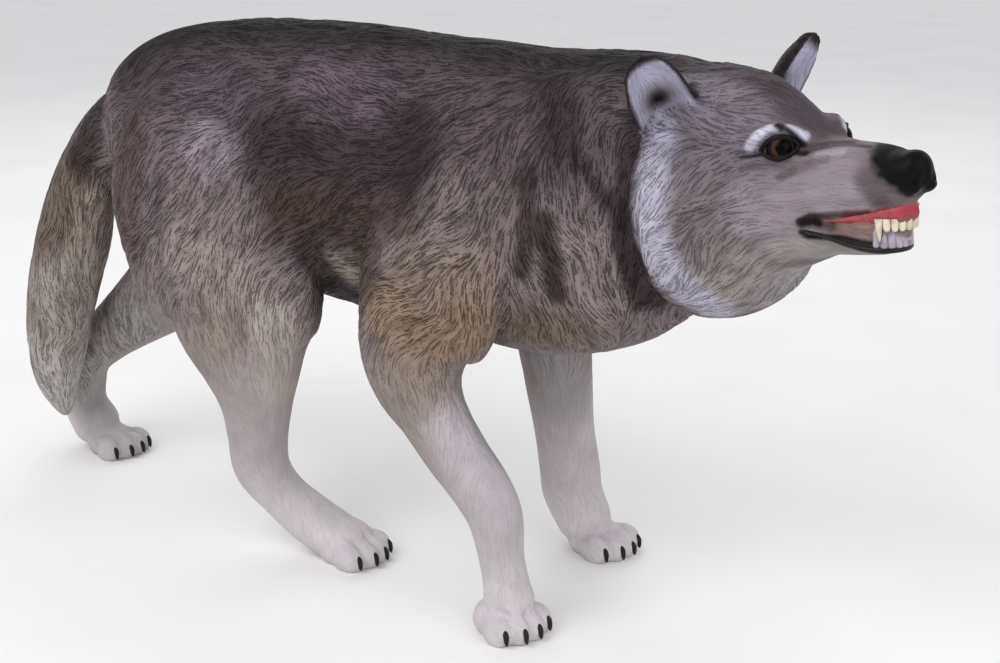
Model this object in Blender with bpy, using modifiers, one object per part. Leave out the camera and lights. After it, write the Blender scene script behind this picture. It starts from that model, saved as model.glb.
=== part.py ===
"""A life-size snarling wolf, stalking with its head low and turned to its right, cast in one piece.

Metres, +Z up. The nose points along +X and the wolf's left side is +Y. The origin is on the ground
under the middle of the casting. The wolf is a set of lofted and rounded forms that are fused into one
skin, cut flat under the paws, with its folds, toes, teeth and claws in relief.
"""

import math
from dataclasses import dataclass

import bmesh
import bpy
import numpy as np
from mathutils import Matrix, Vector
from mathutils.bvhtree import BVHTree

NODE_NAME = "wolf_casting"

# Heights above the ground. The line of the back runs on from the croup, so it is given by its falls from it
CROUP_TOP = 0.767
BACK_FALL = 0.010
WITHERS_FALL = 0.017
NECK_FALL = 0.019
BACK_TOP = CROUP_TOP - BACK_FALL
WITHERS_TOP = CROUP_TOP - WITHERS_FALL
NECK_TOP = CROUP_TOP - NECK_FALL
BELLY_HEIGHT = 0.372
BRISKET_HEIGHT = 0.358

# Half widths of the trunk
RUMP_HALF = 0.098
LOIN_HALF = 0.112
RIBS_HALF = 0.130
SHOULDER_HALF = 0.142
NECK_HALF = 0.112

# Places of the paws, at the middle of each sole: along the wolf, and to its side
FRONT_RIGHT_PAW = (0.296, -0.137)
FRONT_LEFT_PAW = (0.287, 0.151)
HIND_RIGHT_PAW = (-0.013, -0.060)
HIND_LEFT_PAW = (-0.614, 0.088)
PAWS = (
    (FRONT_RIGHT_PAW, math.radians(-22)),
    (FRONT_LEFT_PAW, math.radians(-15)),
    (HIND_RIGHT_PAW, math.radians(-2)),
    (HIND_LEFT_PAW, math.radians(-6)),
)
PAW_WIDTH = 0.100
PAD_HALF_SIZES = (0.040, 0.042, 0.029)
PAD_BACK = 0.010
PAD_HEIGHT = 0.015
TOE_COUNT = 4
TOE_FORWARD = 0.029
OUTER_TOE_BACK = 0.011
TOE_HEIGHT = 0.0140
TOE_HALF_SIZES = (0.0270, 0.0180, 0.0225)
TOE_SPLAY = 0.16
CLAW_ROOT_AHEAD = 0.0180
CLAW_ROOT_HEIGHT = 0.0235
CLAW_TIP_HEIGHT = 0.0040
CLAW_LENGTH = 0.0105
CLAW_RADIUS = 0.0042
SPIKE_SIDES = 6
POINTED = 0.35
BLUNT = 0.75

# The head: where its skull sits, how it is turned, and its own sizes
SKULL_DROP = 0.110
SKULL_AT = (0.543, -0.034, NECK_TOP - SKULL_DROP)
HEAD_YAW = math.radians(-27.8)
HEAD_PITCH = math.radians(-4.5)
HEAD_ROLL = math.radians(2.6)
NOSE_REACH = 0.314
EYE_FORWARD = 0.135
EYE_SPREAD = 0.042
EYE_HEIGHT = 0.034
EYE_RADIUS = 0.0160
MUZZLE_HALF = 0.036
RUFF_HALF = 0.126
EAR_HEIGHT = 0.088
EAR_HALF = 0.040
EAR_WALL = 0.0085
UPPER_GUM = -0.030
LOWER_GUM = -0.066
TEETH_EACH_SIDE = 4
TOOTH_STEP = 0.29
TOOTH_ARCH_FRONT = 0.293
TOOTH_ARCH_HALF = 0.0275
TOOTH_ARCH_DEPTH = 0.030
JAW_SHORTER = 0.008
UPPER_TOOTH_LENGTH = 0.019
UPPER_CANINE_LENGTH = 0.030
LOWER_TOOTH_LENGTH = 0.0140
LOWER_CANINE_LENGTH = 0.0165
TOOTH_RADIUS = 0.0036
CANINE_RADIUS = 0.0043
UPPER_CANINE = 4
LOWER_CANINE = 3

# The tail
TAIL_DROP = 0.157
TAIL_ROOT = (-0.400, 0.0, CROUP_TOP - TAIL_DROP)
TAIL_HALF = 0.055

# Fineness of the skin
SKIN_CELL = 0.0042
SKIN_TRIANGLES = 9200
RING_POINTS = 28
RING_STEPS = 4
SKIN_SMOOTHING = 9
CREASE_SMOOTHING = 45
BLEND_REACH = 0.055
FOLD_STEPS = 12
SOLE_SNAP = 0.0006

# Folds of the neck and wrinkles of the face
NECK_FOLDS = 4
NECK_FOLD_FROM = 0.352
NECK_FOLD_PITCH = 0.034
NECK_FOLD_WIDTH = 0.011
NECK_FOLD_DEPTH = 0.006
WRINKLE_WIDTH = 0.0065

# The paint, averaged over the coat
COAT_COLOUR = (0.195, 0.165, 0.165, 1.0)
COAT_ROUGHNESS = 0.45


@dataclass(frozen=True)
class Ring:
    """One cross-section: its middle, its half sizes to the side and up or fore-and-aft, and its egg shape."""

    at: tuple
    across: float
    deep: float
    egg: float = 0.0


@dataclass(frozen=True)
class Fold:
    """A furrow (rise below zero) or a ridge along a line, in the frame of the head or of the body."""

    line: tuple
    width: float
    rise: float


def head_matrix():
    """The head's own frame: x towards the nose, y to the wolf's left, z up, from the middle of the skull."""
    turn = (
        Matrix.Rotation(HEAD_YAW, 4, "Z")
        @ Matrix.Rotation(HEAD_PITCH, 4, "Y")
        @ Matrix.Rotation(HEAD_ROLL, 4, "X")
    )
    return Matrix.Translation(SKULL_AT) @ turn


def smooth_run(rows, steps):
    """Rows of numbers with Catmull-Rom rows between them."""
    rows = np.asarray(rows, float)
    padded = np.vstack([2 * rows[0] - rows[1], rows, 2 * rows[-1] - rows[-2]])
    run = []
    for index in range(len(rows) - 1):
        before, start, end, after = padded[index : index + 4]
        for step in range(steps):
            t = step / steps
            run.append(
                start
                + 0.5 * t * (end - before)
                + t * t * (before - 2.5 * start + 2 * end - 0.5 * after)
                + t**3 * (1.5 * start - 0.5 * before - 1.5 * end + 0.5 * after)
            )
    run.append(rows[-1])
    return np.array(run)


def capped(run, cap):
    """The run with a rounded end at each side: rings that close over a length of cap times their size."""
    closing = (0.40, 0.70, 0.90, 0.98)
    first, second, last, before = run[0], run[1], run[-1], run[-2]
    front, back = [], []
    for share in closing:
        close = math.sqrt(1 - share * share)
        for end, inner, rows in ((first, second, front), (last, before, back)):
            way = end[:3] - inner[:3]
            way /= np.linalg.norm(way)
            row = end.copy()
            row[:3] += way * share * cap * 0.5 * (end[3] + end[4])
            row[3:5] *= close
            rows.append(row)
    return np.vstack([front[::-1], run, back])


def loft(mesh, rings, side=(0.0, 1.0, 0.0), frame=None, cap=0.8):
    """Adds a closed tube through the rings, each one square to the run, with rounded ends."""
    rows = [(*ring.at, ring.across, ring.deep, ring.egg) for ring in rings]
    run = capped(smooth_run(rows, RING_STEPS), cap)
    middles = run[:, :3]
    ways = np.gradient(middles, axis=0)
    side = Vector(side)
    loops = []
    for row, way in zip(run, ways):
        along = Vector(way).normalized()
        across = (side - along * side.dot(along)).normalized()
        deep = along.cross(across)
        points = []
        for step in range(RING_POINTS):
            angle = math.tau * step / RING_POINTS
            wide = row[3] * math.cos(angle) * (1 - row[5] * math.sin(angle))
            point = Vector(row[:3]) + across * wide + deep * (row[4] * math.sin(angle))
            points.append(mesh.verts.new(frame @ point if frame else point))
        loops.append(points)
    for one, other in zip(loops, loops[1:]):
        for step in range(RING_POINTS):
            ahead = (step + 1) % RING_POINTS
            mesh.faces.new((one[step], one[ahead], other[ahead], other[step]))
    mesh.faces.new(loops[0][::-1])
    mesh.faces.new(loops[-1])


def ball(mesh, at, half_sizes, turn=0.0, frame=None, detail=14):
    """Adds an ellipsoid with the given half sizes, turned about Z."""
    place = Matrix.Translation(at) @ Matrix.Rotation(turn, 4, "Z")
    place = place @ Matrix.Diagonal((*half_sizes, 1.0))
    if frame:
        place = frame @ place
    bmesh.ops.create_uvsphere(mesh, u_segments=2 * detail, v_segments=detail, radius=1.0, matrix=place)


def trunk(mesh):
    """The rump, the barrel, the shoulders and the neck, up to the back of the skull."""
    stations = (
        # along, top, bottom, half width, side shift, egg
        (-0.450, CROUP_TOP - 0.113, 0.520, 0.058, 0.0, 0.00),
        (-0.415, CROUP_TOP - 0.063, 0.480, 0.078, 0.0, 0.00),
        (-0.360, CROUP_TOP - 0.031, 0.450, 0.090, 0.0, 0.00),
        (-0.290, CROUP_TOP - 0.013, 0.425, RUMP_HALF, 0.0, 0.00),
        (-0.200, CROUP_TOP - 0.002, 0.400, 0.106, 0.0, 0.02),
        (-0.110, CROUP_TOP + 0.001, 0.384, LOIN_HALF, 0.0, 0.05),
        (-0.010, BACK_TOP + 0.010, BELLY_HEIGHT, 0.121, 0.0, 0.08),
        (0.090, BACK_TOP + 0.004, BELLY_HEIGHT - 0.008, RIBS_HALF, 0.0, 0.08),
        (0.190, WITHERS_TOP + 0.006, BRISKET_HEIGHT - 0.004, 0.136, 0.0, 0.04),
        (0.280, WITHERS_TOP + 0.002, BRISKET_HEIGHT - 0.010, SHOULDER_HALF, 0.0, 0.00),
        (0.350, NECK_TOP + 0.011, 0.367, 0.134, 0.0, 0.00),
        (0.410, NECK_TOP + 0.014, 0.400, 0.120, 0.004, 0.02),
        (0.460, NECK_TOP + 0.009, 0.430, NECK_HALF, 0.002, 0.04),
        (0.510, NECK_TOP, 0.451, 0.106, -0.012, 0.04),
    )
    rings = []
    for along, top, bottom, half, shift, egg in stations:
        rings.append(Ring((along, shift, (top + bottom) / 2), half, (top - bottom) / 2, egg))
    loft(mesh, rings, cap=0.35)


def tail(mesh):
    """The brush, hanging from the croup in one slow curve that ends in a point near the ground."""
    root = Vector(TAIL_ROOT)
    stations = (
        # back from the root, down from the root, half width, half depth
        (0.000, 0.000, 0.060, 0.058),
        (0.053, 0.022, 0.058, 0.059),
        (0.106, 0.068, 0.052, 0.056),
        (0.154, 0.135, 0.050, 0.056),
        (0.182, 0.205, TAIL_HALF, 0.061),
        (0.218, 0.300, TAIL_HALF - 0.001, 0.058),
        (0.240, 0.390, 0.048, 0.052),
        (0.248, 0.455, 0.036, 0.039),
        (0.240, 0.500, 0.020, 0.021),
        (0.236, 0.520, 0.008, 0.009),
    )
    rings = [Ring((root.x - back, root.y, root.z - down), half, deep) for back, down, half, deep in stations]
    loft(mesh, rings, cap=0.5)


def front_leg_right(mesh):
    """The near front leg: the shoulder, the elbow, a forearm that reaches forward, and the wrist."""
    x, y = FRONT_RIGHT_PAW
    loft(mesh, (
        Ring((x - 0.097, y + 0.029, 0.590), 0.048, 0.084),
        Ring((x - 0.112, y + 0.015, 0.500), 0.056, 0.106),
        Ring((x - 0.124, y + 0.005, 0.425), 0.056, 0.104),
        Ring((x - 0.139, y - 0.001, 0.370), 0.052, 0.085),
        Ring((x - 0.130, y - 0.007, 0.325), 0.047, 0.067),
        Ring((x - 0.104, y - 0.012, 0.285), 0.044, 0.047),
        Ring((x - 0.071, y - 0.014, 0.243), 0.041, 0.042),
        Ring((x - 0.031, y - 0.014, 0.198), 0.037, 0.040),
        Ring((x - 0.014, y - 0.008, 0.160), 0.035, 0.037),
        Ring((x - 0.008, y - 0.004, 0.108), 0.030, 0.031),
        Ring((x - 0.002, y - 0.002, 0.072), 0.030, 0.031),
        Ring((x + 0.002, y, 0.044), 0.034, 0.035),
    ))


def front_leg_left(mesh):
    """The far front leg, which stands almost upright."""
    x, y = FRONT_LEFT_PAW
    loft(mesh, (
        Ring((x - 0.079, y - 0.064, 0.570), 0.048, 0.080),
        Ring((x - 0.083, y - 0.050, 0.480), 0.056, 0.086),
        Ring((x - 0.071, y - 0.036, 0.390), 0.052, 0.068),
        Ring((x - 0.065, y - 0.030, 0.320), 0.047, 0.056),
        Ring((x - 0.059, y - 0.024, 0.250), 0.043, 0.050),
        Ring((x - 0.052, y - 0.020, 0.185), 0.040, 0.045),
        Ring((x - 0.048, y - 0.010, 0.125), 0.040, 0.046),
        Ring((x - 0.046, y - 0.004, 0.085), 0.038, 0.046),
        Ring((x - 0.027, y - 0.001, 0.043), 0.038, 0.042),
    ))


def hind_leg_right(mesh):
    """The near hind leg: a deep thigh, the hock close to the ground, and the shank reaching forward."""
    x, y = HIND_RIGHT_PAW
    loft(mesh, (
        Ring((x - 0.254, y - 0.021, 0.620), 0.058, 0.110),
        Ring((x - 0.234, y - 0.033, 0.530), 0.070, 0.152),
        Ring((x - 0.181, y - 0.041, 0.445), 0.070, 0.171),
        Ring((x - 0.150, y - 0.045, 0.380), 0.064, 0.148),
        Ring((x - 0.144, y - 0.045, 0.325), 0.056, 0.114),
        Ring((x - 0.136, y - 0.043, 0.272), 0.048, 0.082),
        Ring((x - 0.132, y - 0.041, 0.225), 0.042, 0.058),
        Ring((x - 0.133, y - 0.039, 0.175), 0.038, 0.047),
        Ring((x - 0.132, y - 0.034, 0.128), 0.036, 0.045),
        Ring((x - 0.105, y - 0.022, 0.086), 0.034, 0.036),
        Ring((x - 0.064, y - 0.011, 0.052), 0.035, 0.039),
        Ring((x - 0.028, y - 0.003, 0.032), 0.038, 0.036),
        Ring((x + 0.004, y, 0.030), 0.036, 0.026),
    ))


def hind_leg_left(mesh):
    """The far hind leg, stretched out behind, with the hock high and the shank upright."""
    x, y = HIND_LEFT_PAW
    loft(mesh, (
        Ring((x + 0.297, y - 0.021, 0.560), 0.058, 0.116),
        Ring((x + 0.279, y - 0.015, 0.470), 0.066, 0.130),
        Ring((x + 0.226, y - 0.007, 0.385), 0.060, 0.098),
        Ring((x + 0.151, y - 0.003, 0.318), 0.051, 0.075),
        Ring((x + 0.076, y - 0.002, 0.262), 0.043, 0.058),
        Ring((x + 0.009, y - 0.003, 0.212), 0.037, 0.046),
        Ring((x - 0.039, y - 0.006, 0.165), 0.033, 0.038),
        Ring((x - 0.060, y - 0.001, 0.115), 0.032, 0.037),
        Ring((x - 0.063, y - 0.001, 0.075), 0.033, 0.041),
        Ring((x - 0.042, y, 0.042), 0.037, 0.044),
    ))


def toe_places():
    """Each toe of a paw: how far forward and to the side its middle is, and how it is splayed."""
    for toe in range(TOE_COUNT):
        share = 2 * toe / (TOE_COUNT - 1) - 1
        forward = TOE_FORWARD - OUTER_TOE_BACK * (abs(share) > 0.5)
        yield forward, share * (PAW_WIDTH / 2 - TOE_HALF_SIZES[1]), share * TOE_SPLAY


def paw(mesh, place, turn=0.0):
    """A paw: the pad and four toes, reaching a little below the ground so that the sole can be cut flat."""
    x, y = place
    frame = Matrix.Translation((x, y, 0.0)) @ Matrix.Rotation(turn, 4, "Z")
    ball(mesh, (-PAD_BACK, 0.0, PAD_HEIGHT), PAD_HALF_SIZES, frame=frame)
    for forward, sideways, splay in toe_places():
        ball(mesh, (forward, sideways, TOE_HEIGHT), TOE_HALF_SIZES, splay, frame)


def spike(mesh, root, tip, radius, blunt):
    """Adds a six-sided tapered peg from the root to the tip."""
    root, tip = Vector(root), Vector(tip)
    way = tip - root
    place = Matrix.Translation((root + tip) / 2) @ way.to_track_quat("Z", "Y").to_matrix().to_4x4()
    bmesh.ops.create_cone(
        mesh,
        cap_ends=True,
        cap_tris=True,
        segments=SPIKE_SIDES,
        radius1=radius,
        radius2=radius * blunt,
        depth=way.length,
        matrix=place,
    )


def claws(mesh, place, turn=0.0):
    """Four claws, one on each toe, curving down to just above the ground."""
    x, y = place
    frame = Matrix.Translation((x, y, 0.0)) @ Matrix.Rotation(turn, 4, "Z")
    for forward, sideways, splay in toe_places():
        way = Vector((math.cos(splay), math.sin(splay), 0.0))
        root = Vector((forward, sideways, CLAW_ROOT_HEIGHT)) + way * CLAW_ROOT_AHEAD
        tip = root + way * CLAW_LENGTH
        tip.z = CLAW_TIP_HEIGHT
        spike(mesh, frame @ root, frame @ tip, CLAW_RADIUS, POINTED)


def skull(mesh, frame):
    """The cranium with its cheeks and ruff, the muzzle, the lower jaw and the gums between the lips."""
    muzzle = MUZZLE_HALF
    stations = (
        # forward, top, bottom, half width, egg
        (-0.060, 0.108, -0.190, RUFF_HALF - 0.016, 0.06),
        (-0.034, 0.117, -0.197, RUFF_HALF, 0.08),
        (0.010, 0.120, -0.180, RUFF_HALF - 0.010, 0.12),
        (0.050, 0.113, -0.157, RUFF_HALF - 0.026, 0.14),
        (0.090, 0.094, -0.134, RUFF_HALF - 0.044, 0.12),
        (0.128, 0.068, -0.111, RUFF_HALF - 0.063, 0.06),
        (0.160, 0.048, -0.095, RUFF_HALF - 0.078, 0.00),
    )
    rings = []
    for forward, top, bottom, half, egg in stations:
        rings.append(Ring((forward, 0.0, (top + bottom) / 2), half, (top - bottom) / 2, egg))
    loft(mesh, rings, frame=frame, cap=0.25)
    loft(mesh, (
        Ring((0.120, 0.0, -0.002), muzzle + 0.014, 0.052),
        Ring((0.165, 0.0, -0.001), muzzle + 0.009, 0.046, 0.10),
        Ring((0.205, 0.0, 0.001), muzzle + 0.004, 0.0395, 0.10),
        Ring((0.245, 0.0, 0.003), muzzle + 0.001, 0.0365, 0.08),
        Ring((0.275, 0.0, 0.006), muzzle - 0.002, 0.0310, 0.05),
        Ring((NOSE_REACH - 0.030, 0.0, 0.010), muzzle - 0.006, 0.0260, 0.0),
        Ring((NOSE_REACH - 0.016, 0.0, 0.013), muzzle - 0.012, 0.0210, 0.0),
    ), frame=frame, cap=0.45)
    loft(mesh, (
        Ring((0.100, 0.0, -0.088), muzzle + 0.020, 0.034),
        Ring((0.140, 0.0, -0.080), muzzle + 0.009, 0.026),
        Ring((0.180, 0.0, -0.072), muzzle + 0.002, 0.0185),
        Ring((0.225, 0.0, -0.0700), muzzle - 0.002, 0.0140),
        Ring((0.255, 0.0, -0.0695), muzzle - 0.007, 0.0105),
        Ring((0.270, 0.0, -0.0670), muzzle - 0.014, 0.0085),
    ), frame=frame, cap=0.45)
    loft(mesh, (
        Ring((0.130, 0.0, -0.045), muzzle - 0.004, 0.034),
        Ring((0.200, 0.0, -0.044), muzzle - 0.006, 0.026),
        Ring((0.245, 0.0, -0.041), muzzle - 0.007, 0.028),
        Ring((0.272, 0.0, -0.038), muzzle - 0.011, 0.028),
        Ring((0.286, 0.0, -0.035), muzzle - 0.018, 0.024),
    ), frame=frame, cap=0.35)
    ball(mesh, (NOSE_REACH - 0.018, 0.0, 0.0155), (0.018, 0.0215, 0.0215), frame=frame)
    for side in (-1, 1):
        ball(mesh, (NOSE_REACH - 0.013, side * 0.011, 0.0020), (0.0140, 0.0120, 0.0130), frame=frame)


def brow_and_eye(mesh, frame, side):
    """One side's eyeball, the heavy brow over it and the cheekbone below."""
    eye = (EYE_FORWARD, side * EYE_SPREAD, EYE_HEIGHT)
    ball(mesh, eye, (EYE_RADIUS, EYE_RADIUS * 0.98, EYE_RADIUS * 0.92), frame=frame)
    loft(mesh, (
        Ring((EYE_FORWARD - 0.052, side * (EYE_SPREAD + 0.014), EYE_HEIGHT + 0.003), 0.012, 0.012),
        Ring((EYE_FORWARD - 0.020, side * (EYE_SPREAD + 0.004), EYE_HEIGHT + 0.014), 0.014, 0.012),
        Ring((EYE_FORWARD + 0.008, side * (EYE_SPREAD - 0.009), EYE_HEIGHT + 0.016), 0.012, 0.011),
        Ring((EYE_FORWARD + 0.025, side * (EYE_SPREAD - 0.023), EYE_HEIGHT + 0.008), 0.011, 0.010),
    ), frame=frame)
    loft(mesh, (
        Ring((EYE_FORWARD - 0.060, side * (EYE_SPREAD + 0.022), EYE_HEIGHT - 0.022), 0.016, 0.018),
        Ring((EYE_FORWARD - 0.016, side * (EYE_SPREAD + 0.005), EYE_HEIGHT - 0.028), 0.014, 0.014),
        Ring((EYE_FORWARD + 0.026, side * (EYE_SPREAD - 0.016), EYE_HEIGHT - 0.018), 0.011, 0.011),
    ), frame=frame)


def ear(mesh, frame, side):
    """A cupped ear: a shell with a thick rim that opens forward and outward and ends in a blunt tip."""
    root = Vector((0.000, side * 0.088, 0.062))
    tip = Vector((0.012, side * 0.134, 0.132))
    along = (tip - root).normalized()
    opening = Vector((0.80, side * 0.55, 0.10))
    opening = (opening - along * opening.dot(along)).normalized()
    across = opening.cross(along)
    outer_points = 15
    inner_points = 11
    loops = []
    for step in range(11):
        share = -0.12 + 1.12 * step / 10
        taper = math.sqrt(max(0.0, 1 - max(share, 0.0) ** 2.2))
        half = EAR_HALF * (0.16 + 0.84 * taper)
        deep = 0.030 * (0.22 + 0.78 * taper)
        wall = min(EAR_WALL, half * 0.55, deep * 0.8)
        middle = root + along * (share * EAR_HEIGHT)
        loop = []
        for index in range(outer_points):
            angle = math.pi * index / (outer_points - 1)
            loop.append(middle + across * (half * math.cos(angle)) - opening * (deep * math.sin(angle)))
        for index in range(inner_points):
            angle = math.pi * (inner_points - 1 - index) / (inner_points - 1)
            reach = half - wall
            hollow = (deep - wall) * math.sin(angle) - 0.0015
            loop.append(middle + across * (reach * math.cos(angle)) - opening * hollow)
        loops.append([mesh.verts.new(frame @ point) for point in loop])
    count = outer_points + inner_points
    for one, other in zip(loops, loops[1:]):
        for index in range(count):
            ahead = (index + 1) % count
            mesh.faces.new((one[index], one[ahead], other[ahead], other[index]))
    mesh.faces.new(loops[0][::-1])
    mesh.faces.new(loops[-1])


def teeth(mesh, frame):
    """The lower and upper incisors and canines, standing proud of the gums."""
    rows = (
        # gum, set back, length, place and length of the canines
        (UPPER_GUM, 0.0, -UPPER_TOOTH_LENGTH, UPPER_CANINE, -UPPER_CANINE_LENGTH),
        (LOWER_GUM, JAW_SHORTER, LOWER_TOOTH_LENGTH, LOWER_CANINE, LOWER_CANINE_LENGTH),
    )
    for gum, back, length, canine_place, canine_length in rows:
        for place in range(-TEETH_EACH_SIDE, TEETH_EACH_SIDE + 1):
            angle = place * TOOTH_STEP
            forward = TOOTH_ARCH_FRONT - TOOTH_ARCH_DEPTH * (1 - math.cos(angle)) - back
            sideways = (TOOTH_ARCH_HALF - back / 2) * math.sin(angle)
            canine = abs(place) == canine_place
            reach = canine_length if canine else length
            root = frame @ Vector((forward, sideways, gum))
            tip = frame @ Vector((forward, sideways, gum + reach))
            if canine:
                spike(mesh, root, tip, CANINE_RADIUS, POINTED)
            else:
                spike(mesh, root, tip, TOOTH_RADIUS, BLUNT)


def rough_forms():
    """All the forms, overlapping, in one mesh."""
    mesh = bmesh.new()
    frame = head_matrix()
    trunk(mesh)
    tail(mesh)
    front_leg_right(mesh)
    front_leg_left(mesh)
    hind_leg_right(mesh)
    hind_leg_left(mesh)
    for place, turn in PAWS:
        paw(mesh, place, turn)
    skull(mesh, frame)
    for side in (-1, 1):
        brow_and_eye(mesh, frame, side)
        ear(mesh, frame, side)
    bmesh.ops.recalc_face_normals(mesh, faces=mesh.faces)
    data = bpy.data.meshes.new("rough_forms")
    mesh.to_mesh(data)
    mesh.free()
    return data


def fused(data):
    """One skin round the forms, with no faces inside."""
    helper = bpy.data.objects.new("rough_forms", data)
    bpy.context.scene.collection.objects.link(helper)
    skin = helper.modifiers.new("skin", "REMESH")
    skin.mode = "VOXEL"
    skin.voxel_size = SKIN_CELL
    bpy.context.view_layer.update()
    graph = bpy.context.evaluated_depsgraph_get()
    result = bpy.data.meshes.new_from_object(helper.evaluated_get(graph))
    bpy.data.objects.remove(helper)
    return result


def blend_zones(frame):
    """Where limbs and head meet the body: points round which the skin is eased into one surface."""
    near_x, near_y = FRONT_RIGHT_PAW
    far_x, far_y = FRONT_LEFT_PAW
    rear_x, rear_y = HIND_RIGHT_PAW
    back_x, back_y = HIND_LEFT_PAW
    root = Vector(TAIL_ROOT)
    zones = [
        (Vector((near_x - 0.140, near_y + 0.020, 0.420)), 0.120),
        (Vector((near_x - 0.120, near_y + 0.050, 0.560)), 0.130),
        (Vector((far_x - 0.070, far_y - 0.030, 0.400)), 0.110),
        (Vector((far_x - 0.080, far_y - 0.050, 0.560)), 0.130),
        (Vector((rear_x - 0.130, rear_y - 0.030, 0.420)), 0.150),
        (Vector((rear_x - 0.240, rear_y - 0.020, 0.580)), 0.150),
        (Vector((back_x + 0.260, back_y, 0.430)), 0.150),
        (Vector((back_x + 0.320, back_y - 0.020, 0.580)), 0.150),
        (root + Vector((-0.030, 0.0, 0.010)), 0.130),
        (frame @ Vector((-0.060, 0.0, 0.090)), 0.060),
        (frame @ Vector((0.130, 0.0, -0.110)), 0.060),
    ]
    for side in (-1, 1):
        zones.append((frame @ Vector((0.170, side * 0.040, -0.005)), 0.045))
    return zones


def eased(data, frame):
    """The skin smoothed all over, and far more where limbs and head meet the body."""
    body = bpy.data.objects.new("eased_skin", data)
    bpy.context.scene.collection.objects.link(body)
    count = len(data.vertices)
    points = np.empty(count * 3)
    data.vertices.foreach_get("co", points)
    points = points.reshape(-1, 3)
    weight = np.zeros(count)
    for middle, reach in blend_zones(frame):
        far = np.linalg.norm(points - np.array(middle), axis=1)
        weight = np.maximum(weight, np.clip((reach - far) / BLEND_REACH, 0.0, 1.0))
    creases = body.vertex_groups.new(name="creases")
    for level in range(1, 11):
        chosen = np.nonzero((weight > (level - 1) / 10) & (weight <= level / 10))[0]
        creases.add(chosen.tolist(), level / 10, "REPLACE")
    smooth = body.modifiers.new("all_over", "SMOOTH")
    smooth.factor = 0.5
    smooth.iterations = SKIN_SMOOTHING
    blend = body.modifiers.new("creases", "SMOOTH")
    blend.factor = 0.5
    blend.iterations = CREASE_SMOOTHING
    blend.vertex_group = creases.name
    bpy.context.view_layer.update()
    graph = bpy.context.evaluated_depsgraph_get()
    result = bpy.data.meshes.new_from_object(body.evaluated_get(graph))
    bpy.data.objects.remove(body)
    return result


def folds(frame):
    """The furrows and ridges of the skin: on the neck, between the brows and along the muzzle."""
    lines = []
    for side in (-1, 1):
        for step in range(NECK_FOLDS):
            along = NECK_FOLD_FROM + step * NECK_FOLD_PITCH
            line = [
                (along - 0.012, side * 0.070, 0.715),
                (along, side * 0.115, 0.640),
                (along + 0.004, side * 0.130, 0.560),
                (along - 0.006, side * 0.110, 0.470),
            ]
            lines.append(Fold(tuple(line), NECK_FOLD_WIDTH, -NECK_FOLD_DEPTH))
        wrinkles = (
            # the hollow in front of the brow, the two wrinkles of the muzzle, the line under the eye
            (((0.172, 0.020, 0.050), (0.180, 0.036, 0.036), (0.182, 0.044, 0.020)), -0.0040),
            (((0.178, 0.042, 0.022), (0.205, 0.042, 0.024), (0.235, 0.038, 0.026)), -0.0028),
            (((0.172, 0.048, 0.002), (0.205, 0.045, 0.008), (0.240, 0.040, 0.014)), -0.0030),
            (((0.150, 0.050, 0.014), (0.120, 0.066, 0.010), (0.080, 0.084, 0.012)), -0.0030),
            (((0.140, 0.028, 0.068), (0.105, 0.046, 0.072), (0.070, 0.066, 0.064)), -0.0030),
            (((0.118, 0.046, 0.030), (0.100, 0.062, 0.026), (0.076, 0.074, 0.022)), -0.0035),
        )
        for points, rise in wrinkles:
            line = [frame @ Vector((x, side * y, z)) for x, y, z in points]
            lines.append(Fold(tuple(tuple(point) for point in line), WRINKLE_WIDTH, rise))
    crown = [frame @ Vector((x, 0.0, z)) for x, z in ((0.060, 0.110), (0.110, 0.090), (0.160, 0.050))]
    lines.append(Fold(tuple(tuple(point) for point in crown), WRINKLE_WIDTH * 1.4, -0.0030))
    return lines


def creased(data, frame):
    """Works the folds into the skin, each one deepest at its middle and fading out at its ends."""
    count = len(data.vertices)
    points = np.empty(count * 3)
    data.vertices.foreach_get("co", points)
    points = points.reshape(-1, 3)
    normals = np.empty(count * 3)
    data.vertices.foreach_get("normal", normals)
    normals = normals.reshape(-1, 3)
    tree = BVHTree.FromPolygons(
        [vertex.co for vertex in data.vertices], [face.vertices for face in data.polygons]
    )
    rise = np.zeros(count)
    for fold in folds(frame):
        run = np.array([tree.find_nearest(point)[0] for point in smooth_run(fold.line, FOLD_STEPS)])
        reach = 3 * fold.width
        inside = np.all((points > run.min(axis=0) - reach) & (points < run.max(axis=0) + reach), axis=1)
        near = np.nonzero(inside)[0]
        far = np.linalg.norm(points[near][:, None, :] - run[None, :, :], axis=2)
        share = far.argmin(axis=1) / (len(run) - 1)
        fade = np.sqrt(np.sin(math.pi * (0.04 + 0.92 * share)))
        rise[near] += fold.rise * fade * np.exp(-((far.min(axis=1) / fold.width) ** 2))
    points += normals * rise[:, None]
    data.vertices.foreach_set("co", points.ravel())
    data.update()
    return data


def thinned(data):
    """The skin in fewer and larger faces, finer where it bends more."""
    body = bpy.data.objects.new("thinned_skin", data)
    bpy.context.scene.collection.objects.link(body)
    fewer = body.modifiers.new("fewer", "DECIMATE")
    fewer.decimate_type = "COLLAPSE"
    fewer.ratio = SKIN_TRIANGLES / (2 * len(data.polygons))
    fewer.use_collapse_triangulate = True
    bpy.context.view_layer.update()
    graph = bpy.context.evaluated_depsgraph_get()
    result = bpy.data.meshes.new_from_object(body.evaluated_get(graph))
    bpy.data.objects.remove(body)
    return result


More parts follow.
